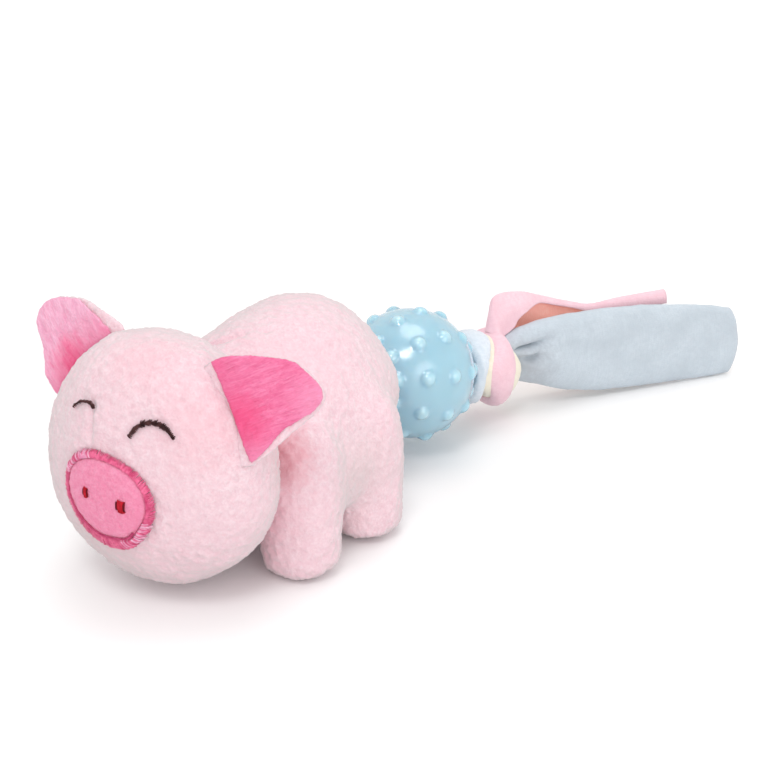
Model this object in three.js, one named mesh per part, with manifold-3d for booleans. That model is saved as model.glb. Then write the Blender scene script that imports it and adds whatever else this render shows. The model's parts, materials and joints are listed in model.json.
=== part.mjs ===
// A stuffed plush pig. Behind its rump a nubbed rubber ball is threaded on three jersey strips,
// which are knotted together behind the ball and end in loose tails.
// Millimetres, +Z up. The pig faces -Y and its left side is +X. It stands on its four soles.

import * as THREE from 'three';
import { mergeVertices } from 'three/addons/utils/BufferGeometryUtils.js';
import Module from 'manifold-3d';

const wasm = await Module();
wasm.setup();

// Clearances and cuts
const mergeTolerance = 1e-4;
const slopeStep = 0.01;
const seatGap = 0.3;
const boreGap = 0.6;
const cutOverrun = 3;
const skinThickness = 1.6;

// Head: a pear-shaped stuffed ball, flatter in front than behind
const headWidth = 70;
const headHeight = 72;
const headClearance = 3.4;
const headFrontDepth = 23;
const headBackDepth = 26;
const headFullness = 0.85;
const headYaw = THREE.MathUtils.degToRad(8);
const headRoll = THREE.MathUtils.degToRad(3.5);
const jowlShare = 0.05;
const jowlHeightShare = -0.4;
const jowlSpreadShare = 0.5;
const neckRadius = 15;

// Body: a stuffed barrel whose front end is cut by the head
const bodyLength = 88;
const bodyWidth = 63;
const bodyHeight = 59;
const bodyClearance = 12;
const bodyFullness = 0.72;
const bodyTopTaperShare = 0.2;
const bodyTaperStartShare = -0.8;
const rumpSlope = 13;
const shoulderDrop = 3.5;
const headBodySpacing = 51.5;

// Legs: stub columns that swell into round feet
const legFootWidth = 24;
const legSoleWidth = 17;
const legSpacing = 50;
const legFrontBehindHead = 29.5;
const legHindBehindFront = 31;
const legTopShare = 0.12;

// Snout patch with its stitched border and nostrils
const snoutWidth = 22.8;
const snoutHeight = 24.2;
const snoutThickness = 1.5;
const snoutCrown = 0.9;
const snoutBorderWidth = 2.3;
const snoutBorderThickness = 1.9;
const snoutElevationShare = -0.036;
const nostrilSpacing = 11.4;
const nostrilAboveCentre = 1.2;
const nostrilHeight = 4.4;
const nostrilWidth = 2.4;
const nostrilThickness = 0.8;

// Eyes: stitched arches
const eyeLeft = { azimuth: THREE.MathUtils.degToRad(24.5), elevation: THREE.MathUtils.degToRad(33.5) };
const eyeRight = { azimuth: THREE.MathUtils.degToRad(-22), elevation: THREE.MathUtils.degToRad(32.5) };
const eyeLeftHalfWidth = 5.2;
const eyeRightHalfWidth = 3.8;
const eyeFaceRadius = 28.8;
const eyeRise = 3.6;
const stitchDiameter = 1.3;

// Ears: two-layer leaves sewn along a slanted seam
const earHubShare = 0.45;
const earBackThickness = 1.6;
const earLiningThickness = 1.2;
const earCupAlong = 2;
const earCupOut = 1.2;
const earRim = 1.4;
const earSeamGap = 0.8;
const earLeft = {
  seamLength: 32,
  reach: 27,
  lift: THREE.MathUtils.degToRad(38),
  top: { azimuth: THREE.MathUtils.degToRad(80), elevation: THREE.MathUtils.degToRad(66) },
  low: { azimuth: THREE.MathUtils.degToRad(72), elevation: THREE.MathUtils.degToRad(12) },
};
const earRight = {
  seamLength: 27.5,
  reach: 25.4,
  lift: THREE.MathUtils.degToRad(20),
  top: { azimuth: THREE.MathUtils.degToRad(-104), elevation: THREE.MathUtils.degToRad(68) },
  low: { azimuth: THREE.MathUtils.degToRad(-82), elevation: THREE.MathUtils.degToRad(13) },
};

// Strand: three jersey strips that leave the rump, pass through the ball and are knotted
const strandHeight = 31;
const strandOffset = -4;
const strandYaw = THREE.MathUtils.degToRad(10.5);
const strandDip = THREE.MathUtils.degToRad(9.3);
const strandRadius = 4.4;
const anchorRadius = 4;
const anchorLength = 12;
const rootStandOff = 2;

// Rubber ball: thick hollow shell with rings of nubs and two polar holes
const ballDiameter = 44;
const ballWall = 3.4;
const ballRumpGap = 3;
const nubDiameter = 4.8;
const nubHeight = 1.8;
const nubRings = 5;
const nubsPerRing = 10;
const nubRingStep = THREE.MathUtils.degToRad(27);
const nubPhase = THREE.MathUtils.degToRad(13);

// Knot wraps, measured along the strand and across it
const knotBallGap = 0.8;
const blueWrapWidth = 6;
const blueWrapRadius = 12.4;
const blueWrapRound = 2;
const pinkWrapWidth = 8.6;
const pinkWrapRadius = 14;
const pinkWrapRound = 2.2;
const yellowWrapLip = 1.5;
const yellowWrapRadius = 12.8;
const yellowWrapRound = 0.4;
const yellowWrapHubRadius = 8.8;

// Tails: the loose strip ends. Each swells from a round neck and closes with a round tip
const tailYaw = THREE.MathUtils.degToRad(30);
const tailKnotGap = 0.8;
const tailSideGap = 0.6;
const tailFloorGap = 0.3;
const tailTipShare = 0.04;
const blueTailLength = 100.5;
const blueTailHeight = 31;
const blueTailEndHeight = 27;
const blueTailThickness = 10;
const blueTailEndThickness = 7;
const blueTailNeck = 12;
const blueTailNeckThickness = 8;
const blueTailSpreadShare = 0.42;
const blueTailSquareness = 0.75;
const pinkTailLength = 81;
const pinkTailWidth = 24;
const pinkTailThickness = 2;
const pinkTailNeck = 10;
const pinkTailAbove = 4;
const pinkTailTop = 42;
const pinkTailLean = 1.2;
const pinkTailSpreadShare = 0.16;
const yellowTailLength = 70;
const yellowTailHeight = 19;
const yellowTailThickness = 3;
const yellowTailNeck = 7;
const yellowTailSpreadShare = 0.5;
const flatTailSquareness = 0.87;

// Squeaker inside the body's stuffing
const squeakerDiameter = 24;
const squeakerLength = 18;
const squeakerReedDiameter = 7;
const squeakerReedLength = 6;
const squeakerSetBack = 8;

// Facets
const headRows = 20;
const headColumns = 30;
const bodyRows = 20;
const bodyColumns = 28;
const fillRows = 10;
const fillColumns = 18;
const legRows = 12;
const legColumns = 18;
const ballColumns = 32;
const ballRows = 20;
const wrapColumns = 26;
const nubColumns = 6;
const nubRows = 4;
const snoutRings = 5;
const snoutColumns = 28;
const borderSteps = 36;
const nostrilRows = 6;
const nostrilColumns = 10;
const eyeSteps = 8;
const threadSegments = 3;
const earRings = 4;
const earColumns = 24;
const stripSegments = 5;
const tailRows = 22;
const tailColumns = 16;

const colours = {
  plushPale: 0xf7d5de,
  plushDeep: 0xf0709f,
  snoutPink: 0xf58fb4,
  stitchPink: 0xd94a86,
  stitchBrown: 0x3b2226,
  stitchRed: 0xb81f33,
  rubberBlue: 0x9fd3ea,
  jerseyBlue: 0xc6d6ea,
  jerseyPink: 0xf7bfd0,
  jerseyYellow: 0xf6eec2,
  fibre: 0xf4f2ec,
  squeakerWhite: 0xe9e9e6,
};

function cloth(colour) {
  return new THREE.MeshStandardMaterial({ color: colour, roughness: 0.95, metalness: 0 });
}

function rubber(colour) {
  return new THREE.MeshStandardMaterial({ color: colour, roughness: 0.35, metalness: 0 });
}

// A closed surface: point(u, v) runs from one pole at u = 0 to the other at u = 1, and once round in v
function closedForm(rows, columns, point) {
  const positions = [...point(0, 0)];
  for (let row = 1; row < rows; row += 1) {
    for (let column = 0; column < columns; column += 1) {
      positions.push(...point(row / rows, column / columns));
    }
  }
  positions.push(...point(1, 0));
  const last = positions.length / 3 - 1;
  const at = (row, column) => 1 + (row - 1) * columns + (column % columns);
  const indices = [];
  for (let column = 0; column < columns; column += 1) {
    indices.push(0, at(1, column + 1), at(1, column));
    indices.push(last, at(rows - 1, column), at(rows - 1, column + 1));
    for (let row = 1; row < rows - 1; row += 1) {
      indices.push(at(row, column), at(row, column + 1), at(row + 1, column + 1));
      indices.push(at(row, column), at(row + 1, column + 1), at(row + 1, column));
    }
  }
  const geometry = new THREE.BufferGeometry();
  geometry.setAttribute('position', new THREE.Float32BufferAttribute(positions, 3));
  geometry.setIndex(indices);
  return facingOut(geometry);
}

// A closed ring: point(around, section) goes once round the ring and once round its section
function ringForm(steps, sides, point) {
  const positions = [];
  const indices = [];
  for (let step = 0; step < steps; step += 1) {
    for (let side = 0; side < sides; side += 1) {
      positions.push(...point(step / steps * Math.PI * 2, side / sides * Math.PI * 2).toArray());
      const here = step * sides;
      const next = ((step + 1) % steps) * sides;
      const beside = (side + 1) % sides;
      indices.push(here + side, next + side, next + beside);
      indices.push(here + side, next + beside, here + beside);
    }
  }
  const geometry = new THREE.BufferGeometry();
  geometry.setAttribute('position', new THREE.Float32BufferAttribute(positions, 3));
  geometry.setIndex(indices);
  return facingOut(geometry);
}

// Turns the faces round where the surface was wound inwards
function facingOut(geometry) {
  const place = geometry.getAttribute('position');
  const index = geometry.getIndex().array;
  const a = new THREE.Vector3();
  const b = new THREE.Vector3();
  const c = new THREE.Vector3();
  let volume = 0;
  for (let i = 0; i < index.length; i += 3) {
    a.fromBufferAttribute(place, index[i]);
    b.fromBufferAttribute(place, index[i + 1]);
    c.fromBufferAttribute(place, index[i + 2]);
    volume += a.dot(b.cross(c));
  }
  if (volume < 0) {
    const turned = [];
    for (let i = 0; i < index.length; i += 3) {
      turned.push(index[i], index[i + 2], index[i + 1]);
    }
    geometry.setIndex(turned);
  }
  return geometry;
}

function solid(geometry) {
  const bare = geometry.clone();
  bare.deleteAttribute('normal');
  bare.deleteAttribute('uv');
  const joined = mergeVertices(bare, mergeTolerance);
  return new wasm.Manifold(new wasm.Mesh({
    numProp: 3,
    vertProperties: new Float32Array(joined.getAttribute('position').array),
    triVerts: new Uint32Array(joined.getIndex().array),
  }));
}

function geometryOf(manifold) {
  const mesh = manifold.getMesh();
  const geometry = new THREE.BufferGeometry();
  geometry.setAttribute('position', new THREE.Float32BufferAttribute(mesh.vertProperties, 3));
  geometry.setIndex([...mesh.triVerts]);
  return geometry;
}

function piece(name, geometry, material) {
  const mesh = new THREE.Mesh(geometry, material);
  mesh.name = name;
  return mesh;
}

// A cylinder along +Y, for bores and pockets
function rodAlongY(radius, length, sides) {
  return new THREE.CylinderGeometry(radius, radius, length, sides);
}

const vector = (x, y, z) => new THREE.Vector3(x, y, z);
const signedPower = (value, power) => Math.sign(value) * Math.abs(value) ** power;

// The head's surface, drawn in by inset; azimuth 0 faces forward and turns towards the pig's left
const headCentre = vector(0, 0, headClearance + headHeight / 2);
const headTurn = new THREE.Euler(0, headRoll, headYaw, 'ZYX');

function headPoint(azimuth, elevation, inset) {
  const rise = Math.sin(elevation);
  const ring = Math.cos(elevation) ** headFullness;
  const jowl = 1 + jowlShare * Math.exp(-(((rise - jowlHeightShare) / jowlSpreadShare) ** 2));
  const depth = Math.cos(azimuth) > 0 ? headFrontDepth : headBackDepth;
  return vector(
    (headWidth / 2 - inset) * jowl * ring * Math.sin(azimuth),
    -(depth - inset) * ring * Math.cos(azimuth),
    (headHeight / 2 - inset) * rise,
  ).applyEuler(headTurn).add(headCentre);
}

function headForm(rows, columns, inset) {
  return closedForm(rows, columns, (u, v) => headPoint(
    v * Math.PI * 2,
    (u - 0.5) * Math.PI,
    inset,
  ).toArray());
}

// The outward direction of the head's surface at a point
function headNormal(azimuth, elevation) {
  const at = (turn, rise) => headPoint(azimuth + turn * slopeStep, elevation + rise * slopeStep, 0);
  const across = at(1, 0).sub(at(-1, 0));
  const upward = at(0, 1).sub(at(0, -1));
  return across.cross(upward).normalize();
}

// The body's surface: a barrel along Y
const bodyCentre = vector(0, headBodySpacing, bodyClearance + bodyHeight / 2);

function bodyPoint(along, around, inset) {
  const ring = Math.sin(along * Math.PI) ** bodyFullness;
  const rise = ring * Math.sin(around);
  const back = -Math.cos(along * Math.PI);
  const climb = Math.max(0, rise - bodyTaperStartShare) / (1 - bodyTaperStartShare);
  const taper = 1 - bodyTopTaperShare * climb ** 2;
  const slope = rumpSlope * Math.max(0, back) * climb;
  const drop = shoulderDrop * Math.max(0, -back) * Math.max(0, rise);
  return vector(
    (bodyWidth / 2 - inset) * ring * taper * Math.cos(around),
    bodyCentre.y + (bodyLength / 2 - inset) * back - slope,
    bodyCentre.z + (bodyHeight / 2 - inset) * rise - drop,
  );
}

function bodyForm(rows, columns, inset) {
  return closedForm(rows, columns, (u, v) => bodyPoint(u, v * Math.PI * 2, inset).toArray());
}

function makeHead() {
  const neck = rodAlongY(neckRadius, headBackDepth + cutOverrun, fillColumns);
  neck.translate(0, (headBackDepth + cutOverrun) / 2, bodyCentre.z);
  const skin = solid(headForm(headRows, headColumns, 0))
    .subtract(solid(headForm(fillRows, fillColumns, skinThickness)))
    .subtract(solid(neck));
  const filling = headForm(fillRows, fillColumns, skinThickness + seatGap * 2);
  return [
    piece('head_skin', geometryOf(skin), cloth(colours.plushPale)),
    piece('head_stuffing', filling, cloth(colours.fibre)),
  ];
}

// The strand's line: it bends at the root ball, just behind the rump
const strandRiseShare = (strandHeight - bodyCentre.z) / (bodyHeight / 2);
const rumpAlong = 1 - Math.asin(Math.abs(strandRiseShare) ** (1 / bodyFullness)) / Math.PI;
const rumpY = bodyPoint(rumpAlong, Math.sign(strandRiseShare) * Math.PI / 2, 0).y;
const strandDirection = vector(
  Math.sin(strandYaw) * Math.cos(strandDip),
  Math.cos(strandYaw) * Math.cos(strandDip),
  -Math.sin(strandDip),
);
const ballRadius = ballDiameter / 2;
const strandRoot = vector(strandOffset, rumpY + rootStandOff, strandHeight);
const ballDistance = ballRumpGap - rootStandOff + ballRadius;
const knotStart = ballDistance + ballRadius + knotBallGap;
const yellowWrapWidth = pinkWrapWidth + yellowWrapLip * 2;
const knotEnd = knotStart + blueWrapWidth + seatGap + yellowWrapWidth;

const alongStrand = (distance) => strandRoot.clone().addScaledVector(strandDirection, distance);

const squeakerPocketEnd = bodyCentre.y + squeakerSetBack;

function makeBody() {
  const head = solid(headForm(headRows, headColumns, -seatGap));
  const root = new THREE.SphereGeometry(strandRadius + seatGap, fillColumns, fillRows);
  root.translate(...strandRoot.toArray());
  const anchorBore = rodAlongY(anchorRadius + seatGap, anchorLength + strandRadius, fillColumns);
  anchorBore.translate(strandRoot.x, strandRoot.y - (anchorLength + strandRadius) / 2, strandRoot.z);
  const pocket = rodAlongY(squeakerDiameter / 2 + seatGap, bodyLength, fillColumns);
  pocket.translate(0, squeakerPocketEnd - bodyLength / 2, bodyCentre.z);
  const skin = solid(bodyForm(bodyRows, bodyColumns, 0))
    .subtract(solid(bodyForm(fillRows, fillColumns, skinThickness)))
    .subtract(head)
    .subtract(solid(root))
    .subtract(solid(anchorBore));
  const filling = solid(bodyForm(fillRows, fillColumns, skinThickness + seatGap * 2))
    .subtract(head)
    .subtract(solid(root))
    .subtract(solid(anchorBore))
    .subtract(solid(pocket));
  return [
    piece('body_skin', geometryOf(skin), cloth(colours.plushPale)),
    piece('body_stuffing', geometryOf(filling), cloth(colours.fibre)),
  ];
}

function makeSqueaker() {
  const bulb = new THREE.SphereGeometry(squeakerDiameter / 2, fillColumns, fillRows);
  bulb.scale(1, squeakerLength / squeakerDiameter, 1);
  const reed = rodAlongY(squeakerReedDiameter / 2, squeakerReedLength, fillColumns);
  const reedY = squeakerPocketEnd - seatGap - squeakerReedLength / 2;
  const bulbY = reedY - squeakerReedLength / 2 - seatGap - squeakerLength / 2;
  const bulbMesh = piece('squeaker_bulb', bulb, rubber(colours.squeakerWhite));
  bulbMesh.position.set(0, bulbY, bodyCentre.z);
  const reedMesh = piece('squeaker_reed', reed, rubber(colours.squeakerWhite));
  reedMesh.position.set(0, reedY, bodyCentre.z);
  return [bulbMesh, reedMesh];
}

// A leg: a flat sole, a round foot and a column that swells again towards the body
const legProfileShares = [
  { height: 0, width: 0 },
  { height: 0, width: legSoleWidth / legFootWidth },
  { height: 0.02, width: 0.84 },
  { height: 0.09, width: 0.96 },
  { height: 0.2, width: 1 },
  { height: 0.35, width: 1 },
  { height: 0.5, width: 1.02 },
  { height: 0.65, width: 1 },
  { height: 0.8, width: 0.88 },
  { height: 0.92, width: 0.62 },
  { height: 1, width: 0 },
];

function makeLeg(name, x, y, cutters) {
  const legHeight = bodyCentre.z + bodyHeight * legTopShare;
  const profile = legProfileShares.map(({ height, width }) => new THREE.Vector2(
    width * legFootWidth / 2,
    height * legHeight,
  ));
  const column = new THREE.LatheGeometry(profile, legColumns);
  column.rotateX(Math.PI / 2);
  column.translate(x, y, 0);
  let leg = solid(column);
  for (const cutter of cutters) {
    leg = leg.subtract(cutter);
  }
  return piece(name, geometryOf(leg), cloth(colours.plushPale));
}

function makeLegs() {
  const body = solid(bodyForm(bodyRows, bodyColumns, -seatGap));
  const head = solid(headForm(headRows, headColumns, -seatGap));
  const legs = [];
  for (const [side, sign] of [['left', 1], ['right', -1]]) {
    legs.push(makeLeg(`leg_front_${side}`, sign * legSpacing / 2, legFrontBehindHead, [body, head]));
    legs.push(makeLeg(
      `leg_hind_${side}`,
      sign * legSpacing / 2,
      legFrontBehindHead + legHindBehindFront,
      [body, head],
    ));
  }
  return legs;
}

// A leaf-shaped or round plate: face(radius, around, side) gives a point of the front or back face
function plateForm(rings, columns, face) {
  return closedForm(rings * 2, columns, (u, v) => {
    const side = u < 0.5 ? -1 : 1;
    const radius = 1 - Math.abs(u - 0.5) * 2;
    return face(radius, v * Math.PI * 2, u === 0.5 ? 0 : side).toArray();
  });
}

const snoutElevation = snoutElevationShare * Math.PI / 2;
const snoutNormal = headNormal(0, snoutElevation);

// A point on the face: x across, z up from the snout's centre, and out from the head's surface
function snoutPoint(x, z, out) {
  const rise = Math.sin(snoutElevation) + z / (headHeight / 2);
  const elevation = Math.asin(rise);
  const azimuth = Math.asin(x / (headWidth / 2 * Math.cos(elevation) ** headFullness));
  return headPoint(azimuth, elevation, 0).addScaledVector(snoutNormal, out);
}

function makeSnout() {
  const patch = plateForm(snoutRings, snoutColumns, (radius, around, side) => {
    const x = (snoutWidth / 2) * radius * Math.cos(around);
    const z = (snoutHeight / 2) * radius * Math.sin(around);
    const crown = snoutCrown * (1 - radius ** 2);
    const face = side > 0 ? snoutThickness + crown : 0;
    const rim = side === 0 ? snoutThickness / 2 : face;
    return snoutPoint(x, z, seatGap + rim);
  });
  const parts = [piece('snout_patch', patch, cloth(colours.snoutPink))];
  const border = ringForm(borderSteps, threadSegments * 2, (around, section) => {
    const wide = snoutBorderWidth / 2 * (1 + Math.cos(section)) + seatGap;
    const x = (snoutWidth / 2 + wide) * Math.cos(around);
    const z = (snoutHeight / 2 + wide) * Math.sin(around);
    return snoutPoint(x, z, seatGap * 2 + snoutBorderThickness / 2 * (1 + Math.sin(section)));
  });
  parts.push(piece('snout_border', border, cloth(colours.stitchPink)));
  for (const [side, sign] of [['left', 1], ['right', -1]]) {
    const bar = closedForm(nostrilRows, nostrilColumns, (u, v) => {
      const ringShare = Math.sin(u * Math.PI);
      const x = (nostrilWidth / 2) * ringShare * Math.cos(v * Math.PI * 2);
      const out = (nostrilThickness / 2) * ringShare * Math.sin(v * Math.PI * 2);
      const z = nostrilAboveCentre - (nostrilHeight / 2) * Math.cos(u * Math.PI);
      const place = sign * nostrilSpacing / 2 + x;
      const clear = seatGap * 2 + snoutThickness + snoutCrown + nostrilThickness / 2;
      return snoutPoint(place, z, clear + out).toArray();
    });
    parts.push(piece(`nostril_${side}`, bar, cloth(colours.stitchRed)));
  }
  return parts;
}

function makeEyes() {
  const eyes = [];
  const section = new THREE.Shape();
  section.absellipse(0, 0, stitchDiameter / 2, stitchDiameter / 2, 0, Math.PI * 2);
  const out = stitchDiameter / 2 + seatGap;
  for (const [side, eye, halfWidth] of [
    ['left', eyeLeft, eyeLeftHalfWidth],
    ['right', eyeRight, eyeRightHalfWidth],
  ]) {
    const points = [];
    const ring = Math.cos(eye.elevation) ** headFullness;
    for (let step = 0; step <= eyeSteps; step += 1) {
      const along = step / eyeSteps * 2 - 1;
      const azimuth = eye.azimuth + along * halfWidth / (eyeFaceRadius * ring);
      const elevation = eye.elevation + eyeRise * (0.5 - along ** 2) / (headHeight / 2 * ring);
      points.push(headPoint(azimuth, elevation, 0).addScaledVector(headNormal(azimuth, elevation), out));
    }
    const arch = new THREE.ExtrudeGeometry(section, {
      steps: eyeSteps * 2,
      extrudePath: new THREE.CatmullRomCurve3(points),
      curveSegments: threadSegments,
    });
    eyes.push(piece(`eye_${side}`, arch, cloth(colours.stitchBrown)));
  }
  return eyes;
}

// The ear's outline in shares of the seam's length and the ear's reach, from the seam's top to its foot
const earOutlineShares = [
  { along: 0, out: 0.05 },
  { along: 0.02, out: 0.3 },
  { along: 0.16, out: 0.66 },
  { along: 0.33, out: 0.88 },
  { along: 0.55, out: 1 },
  { along: 0.76, out: 0.9 },
  { along: 0.9, out: 0.62 },
  { along: 0.98, out: 0.3 },
  { along: 1, out: 0.05 },
];

// One ear: its frame has X along the seam, Y out from it and Z out of its lined face
function makeEar(side, sign, ear) {
  const top = headPoint(ear.top.azimuth, ear.top.elevation, 0);
  const low = headPoint(ear.low.azimuth, ear.low.elevation, 0);
  const middle = top.clone().add(low).multiplyScalar(0.5);
  const seam = low.clone().sub(top).normalize();
  const outward = middle.clone().sub(headCentre);
  outward.addScaledVector(seam, -outward.dot(seam)).normalize();
  const backward = outward.clone().cross(seam).multiplyScalar(sign);
  const reach = outward.clone().multiplyScalar(Math.cos(ear.lift));
  reach.addScaledVector(backward, Math.sin(ear.lift));
  const front = seam.clone().cross(reach).normalize().multiplyScalar(sign);
  const curve = new THREE.CatmullRomCurve3(earOutlineShares.map(({ along, out }) => vector(
    (along - 0.5) * ear.seamLength,
    out * ear.reach,
    0,
  )));
  const hub = vector(0, ear.reach * earHubShare, 0);
  const outline = [];
  for (let column = 0; column < earColumns; column += 1) {
    outline.push(curve.getPointAt(column / (earColumns - 1)));
  }
  const base = middle.clone().addScaledVector(outward, earBackThickness);
  const head = solid(headForm(headRows, headColumns, -earSeamGap));
  const cutToHead = (form) => geometryOf(solid(form).subtract(head));
  const layer = (inset, behind, ahead) => plateForm(earRings, earColumns, (radius, around, faceSide) => {
    const rim = outline[Math.round(around / (Math.PI * 2) * earColumns) % earColumns].clone();
    rim.sub(hub);
    rim.setLength(Math.max(0, rim.length() - inset));
    const flat = hub.clone().addScaledVector(rim, radius);
    const cup = earCupAlong * (flat.x / (ear.seamLength / 2)) ** 2 - earCupOut * (flat.y / ear.reach) ** 2;
    const face = faceSide < 0 ? behind : ahead;
    const height = faceSide === 0 ? (behind + ahead) / 2 : face;
    return base.clone()
      .addScaledVector(seam, flat.x)
      .addScaledVector(reach, flat.y)
      .addScaledVector(front, height + cup);
  });
  const back = layer(0, -earBackThickness, 0);
  const lining = layer(earRim, seatGap, seatGap + earLiningThickness);
  return [
    piece(`ear_${side}_back`, cutToHead(back), cloth(colours.plushPale)),
    piece(`ear_${side}_lining`, cutToHead(lining), cloth(colours.plushDeep)),
  ];
}

// Turns a piece made along +Y at the origin so that it runs along the strand
function placeOnStrand(object, distance) {
  object.position.copy(alongStrand(distance));
  object.quaternion.setFromUnitVectors(vector(0, 1, 0), strandDirection);
  return object;
}

function makeBall() {
  const shell = new THREE.SphereGeometry(ballRadius, ballColumns, ballRows);
  let ball = solid(shell);
  const nubs = [];
  const nubRadius = nubDiameter / 2;
  for (let ring = 0; ring < nubRings; ring += 1) {
    const polar = Math.PI / 2 + (ring - (nubRings - 1) / 2) * nubRingStep;
    for (let index = 0; index < nubsPerRing; index += 1) {
      const around = nubPhase + index / nubsPerRing * Math.PI * 2;
      const dome = new THREE.SphereGeometry(nubRadius, nubColumns, nubRows);
      dome.rotateX(Math.PI / 2);
      const outward = vector(
        Math.sin(polar) * Math.cos(around),
        Math.cos(polar),
        Math.sin(polar) * Math.sin(around),
      );
      dome.applyQuaternion(new THREE.Quaternion().setFromUnitVectors(vector(0, 0, 1), outward));
      const seat = outward.multiplyScalar(ballRadius + nubHeight - nubRadius);
      dome.translate(seat.x, seat.y, seat.z);
      nubs.push(solid(dome));
    }
  }
  ball = wasm.Manifold.union([ball, ...nubs]);
  const hollow = new THREE.SphereGeometry(ballRadius - ballWall, fillColumns, fillRows);
  const bore = rodAlongY(strandRadius + boreGap, ballDiameter + cutOverrun * 2, fillColumns);
  const carved = ball.subtract(solid(hollow)).subtract(solid(bore));
  return placeOnStrand(piece('rubber_ball', geometryOf(carved), rubber(colours.rubberBlue)), ballDistance);
}

// Each strip is a third of the strand's round section
function makeStrips() {
  const names = ['blue', 'pink', 'yellow'];
  const tints = [colours.jerseyBlue, colours.jerseyPink, colours.jerseyYellow];
  const root = new THREE.SphereGeometry(strandRadius + seatGap, fillColumns, fillRows);
  const rootSolid = solid(root);
  const third = Math.PI * 2 / names.length;
  return names.map((name, index) => {
    const from = index * third;
    const shape = new THREE.Shape();
    const middle = from + third / 2;
    const shift = seatGap / 2 / Math.sin(third / 2);
    shape.moveTo(shift * Math.cos(middle), shift * Math.sin(middle));
    const radius = strandRadius - seatGap;
    for (let step = 0; step <= stripSegments; step += 1) {
      const turn = from + step / stripSegments * third;
      shape.lineTo(
        radius * Math.cos(turn) + shift * Math.cos(middle),
        radius * Math.sin(turn) + shift * Math.sin(middle),
      );
    }
    const strip = new THREE.ExtrudeGeometry(shape, { depth: knotEnd, bevelEnabled: false });
    strip.rotateX(-Math.PI / 2);
    const cut = solid(strip).subtract(rootSolid);
    return placeOnStrand(piece(`strip_${name}`, geometryOf(cut), cloth(tints[index])), 0);
  });
}

function makeAnchors() {
  const root = new THREE.SphereGeometry(strandRadius, fillColumns, fillRows);
  const rootMesh = piece('strip_root', root, cloth(colours.jerseyBlue));
  rootMesh.position.copy(strandRoot);
  const clearSphere = new THREE.SphereGeometry(strandRadius + seatGap, fillColumns, fillRows);
  const anchor = rodAlongY(anchorRadius, anchorLength + strandRadius - seatGap, fillColumns);
  anchor.translate(0, -(anchorLength + strandRadius - seatGap) / 2, 0);
  const anchorMesh = piece(
    'strip_anchor',
    geometryOf(solid(anchor).subtract(solid(clearSphere))),
    cloth(colours.jerseyBlue),
  );
  anchorMesh.position.copy(strandRoot);
  return [anchorMesh, rootMesh];
}

// A wrap of the knot: a ring with rounded edges, from its inner radius to its crown
function wrapRing(inner, outer, width, round) {
  const half = width / 2;
  return lathe([
    [inner, -half],
    [outer - round, -half],
    [outer, round - half],
    [outer, half - round],
    [outer - round, half],
    [inner, half],
  ]);
}

// The wrap under the pink one: a hub with a thin lip on each side
function wrapSpool(inner, outer, width, round, hub, hubWidth) {
  const half = width / 2;
  return lathe([
    [inner, -half],
    [outer - round, -half],
    [outer, round - half],
    [outer, -hubWidth / 2],
    [hub, -hubWidth / 2],
    [hub, hubWidth / 2],
    [outer, hubWidth / 2],
    [outer, half - round],
    [outer - round, half],
    [inner, half],
  ]);
}

function lathe(profile) {
  const points = [...profile, profile[0]].map(([radius, along]) => new THREE.Vector2(radius, along));
  return facingOut(indexed(new THREE.LatheGeometry(points, wrapColumns)));
}

function makeKnot() {
  const inner = strandRadius + seatGap;
  const blueAt = knotStart + blueWrapWidth / 2;
  const bandAt = knotStart + blueWrapWidth + seatGap + yellowWrapWidth / 2;
  const blue = wrapRing(inner, blueWrapRadius, blueWrapWidth, blueWrapRound);
  const yellow = wrapSpool(
    inner,
    yellowWrapRadius,
    yellowWrapWidth,
    yellowWrapRound,
    yellowWrapHubRadius,
    pinkWrapWidth + seatGap * 2,
  );
  const pink = wrapRing(yellowWrapHubRadius + seatGap, pinkWrapRadius, pinkWrapWidth, pinkWrapRound);
  return [
    placeOnStrand(piece('knot_blue_wrap', blue, cloth(colours.jerseyBlue)), blueAt),
    placeOnStrand(piece('knot_yellow_wrap', yellow, cloth(colours.jerseyYellow)), bandAt),
    placeOnStrand(piece('knot_pink_wrap', pink, cloth(colours.jerseyPink)), bandAt),
  ];
}

function indexed(geometry) {
  const bare = geometry.clone();
  bare.deleteAttribute('normal');
  bare.deleteAttribute('uv');
  return mergeVertices(bare, mergeTolerance);
}

// Tails: each leaves the knot's back and runs along the tails' heading
const tailHeading = vector(Math.sin(tailYaw), Math.cos(tailYaw), 0);
const tailSide = vector(Math.cos(tailYaw), -Math.sin(tailYaw), 0);

// A flat tube along a path: half height and half thickness vary along it
function ribbonForm(rows, columns, section) {
  return closedForm(rows, columns, (u, v) => {
    const { centre, side, lean = 0, halfHeight, halfThickness, squareness } = section(u);
    const up = vector(0, 0, 1).addScaledVector(side, lean).normalize();
    const around = v * Math.PI * 2;
    const across = signedPower(Math.cos(around), squareness);
    const rise = signedPower(Math.sin(around), squareness);
    return centre.clone()
      .addScaledVector(up, rise * halfHeight)
      .addScaledVector(side, across * halfThickness)
      .toArray();
  });
}

const smooth = (from, to, value) => {
  const share = Math.min(1, Math.max(0, (value - from) / (to - from)));
  return share * share * (3 - 2 * share);
};

// Tips close with a round edge: full width except near both ends
const tipShare = (u, start, end) => Math.sqrt(Math.max(0, 1 - Math.max(
  0,
  (start - u) / start,
  (u - 1 + end) / end,
) ** 2));

// Where a tail leaves the knot: beside and above the strand's line, on the plane of the knot's back
function tailStart(aside, above) {
  const knotBack = alongStrand(knotEnd + tailKnotGap);
  const start = knotBack.clone().addScaledVector(tailSide, aside).add(vector(0, 0, above));
  const behind = start.clone().sub(knotBack).dot(strandDirection) / tailHeading.dot(strandDirection);
  return start.addScaledVector(tailHeading, -behind);
}

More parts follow.
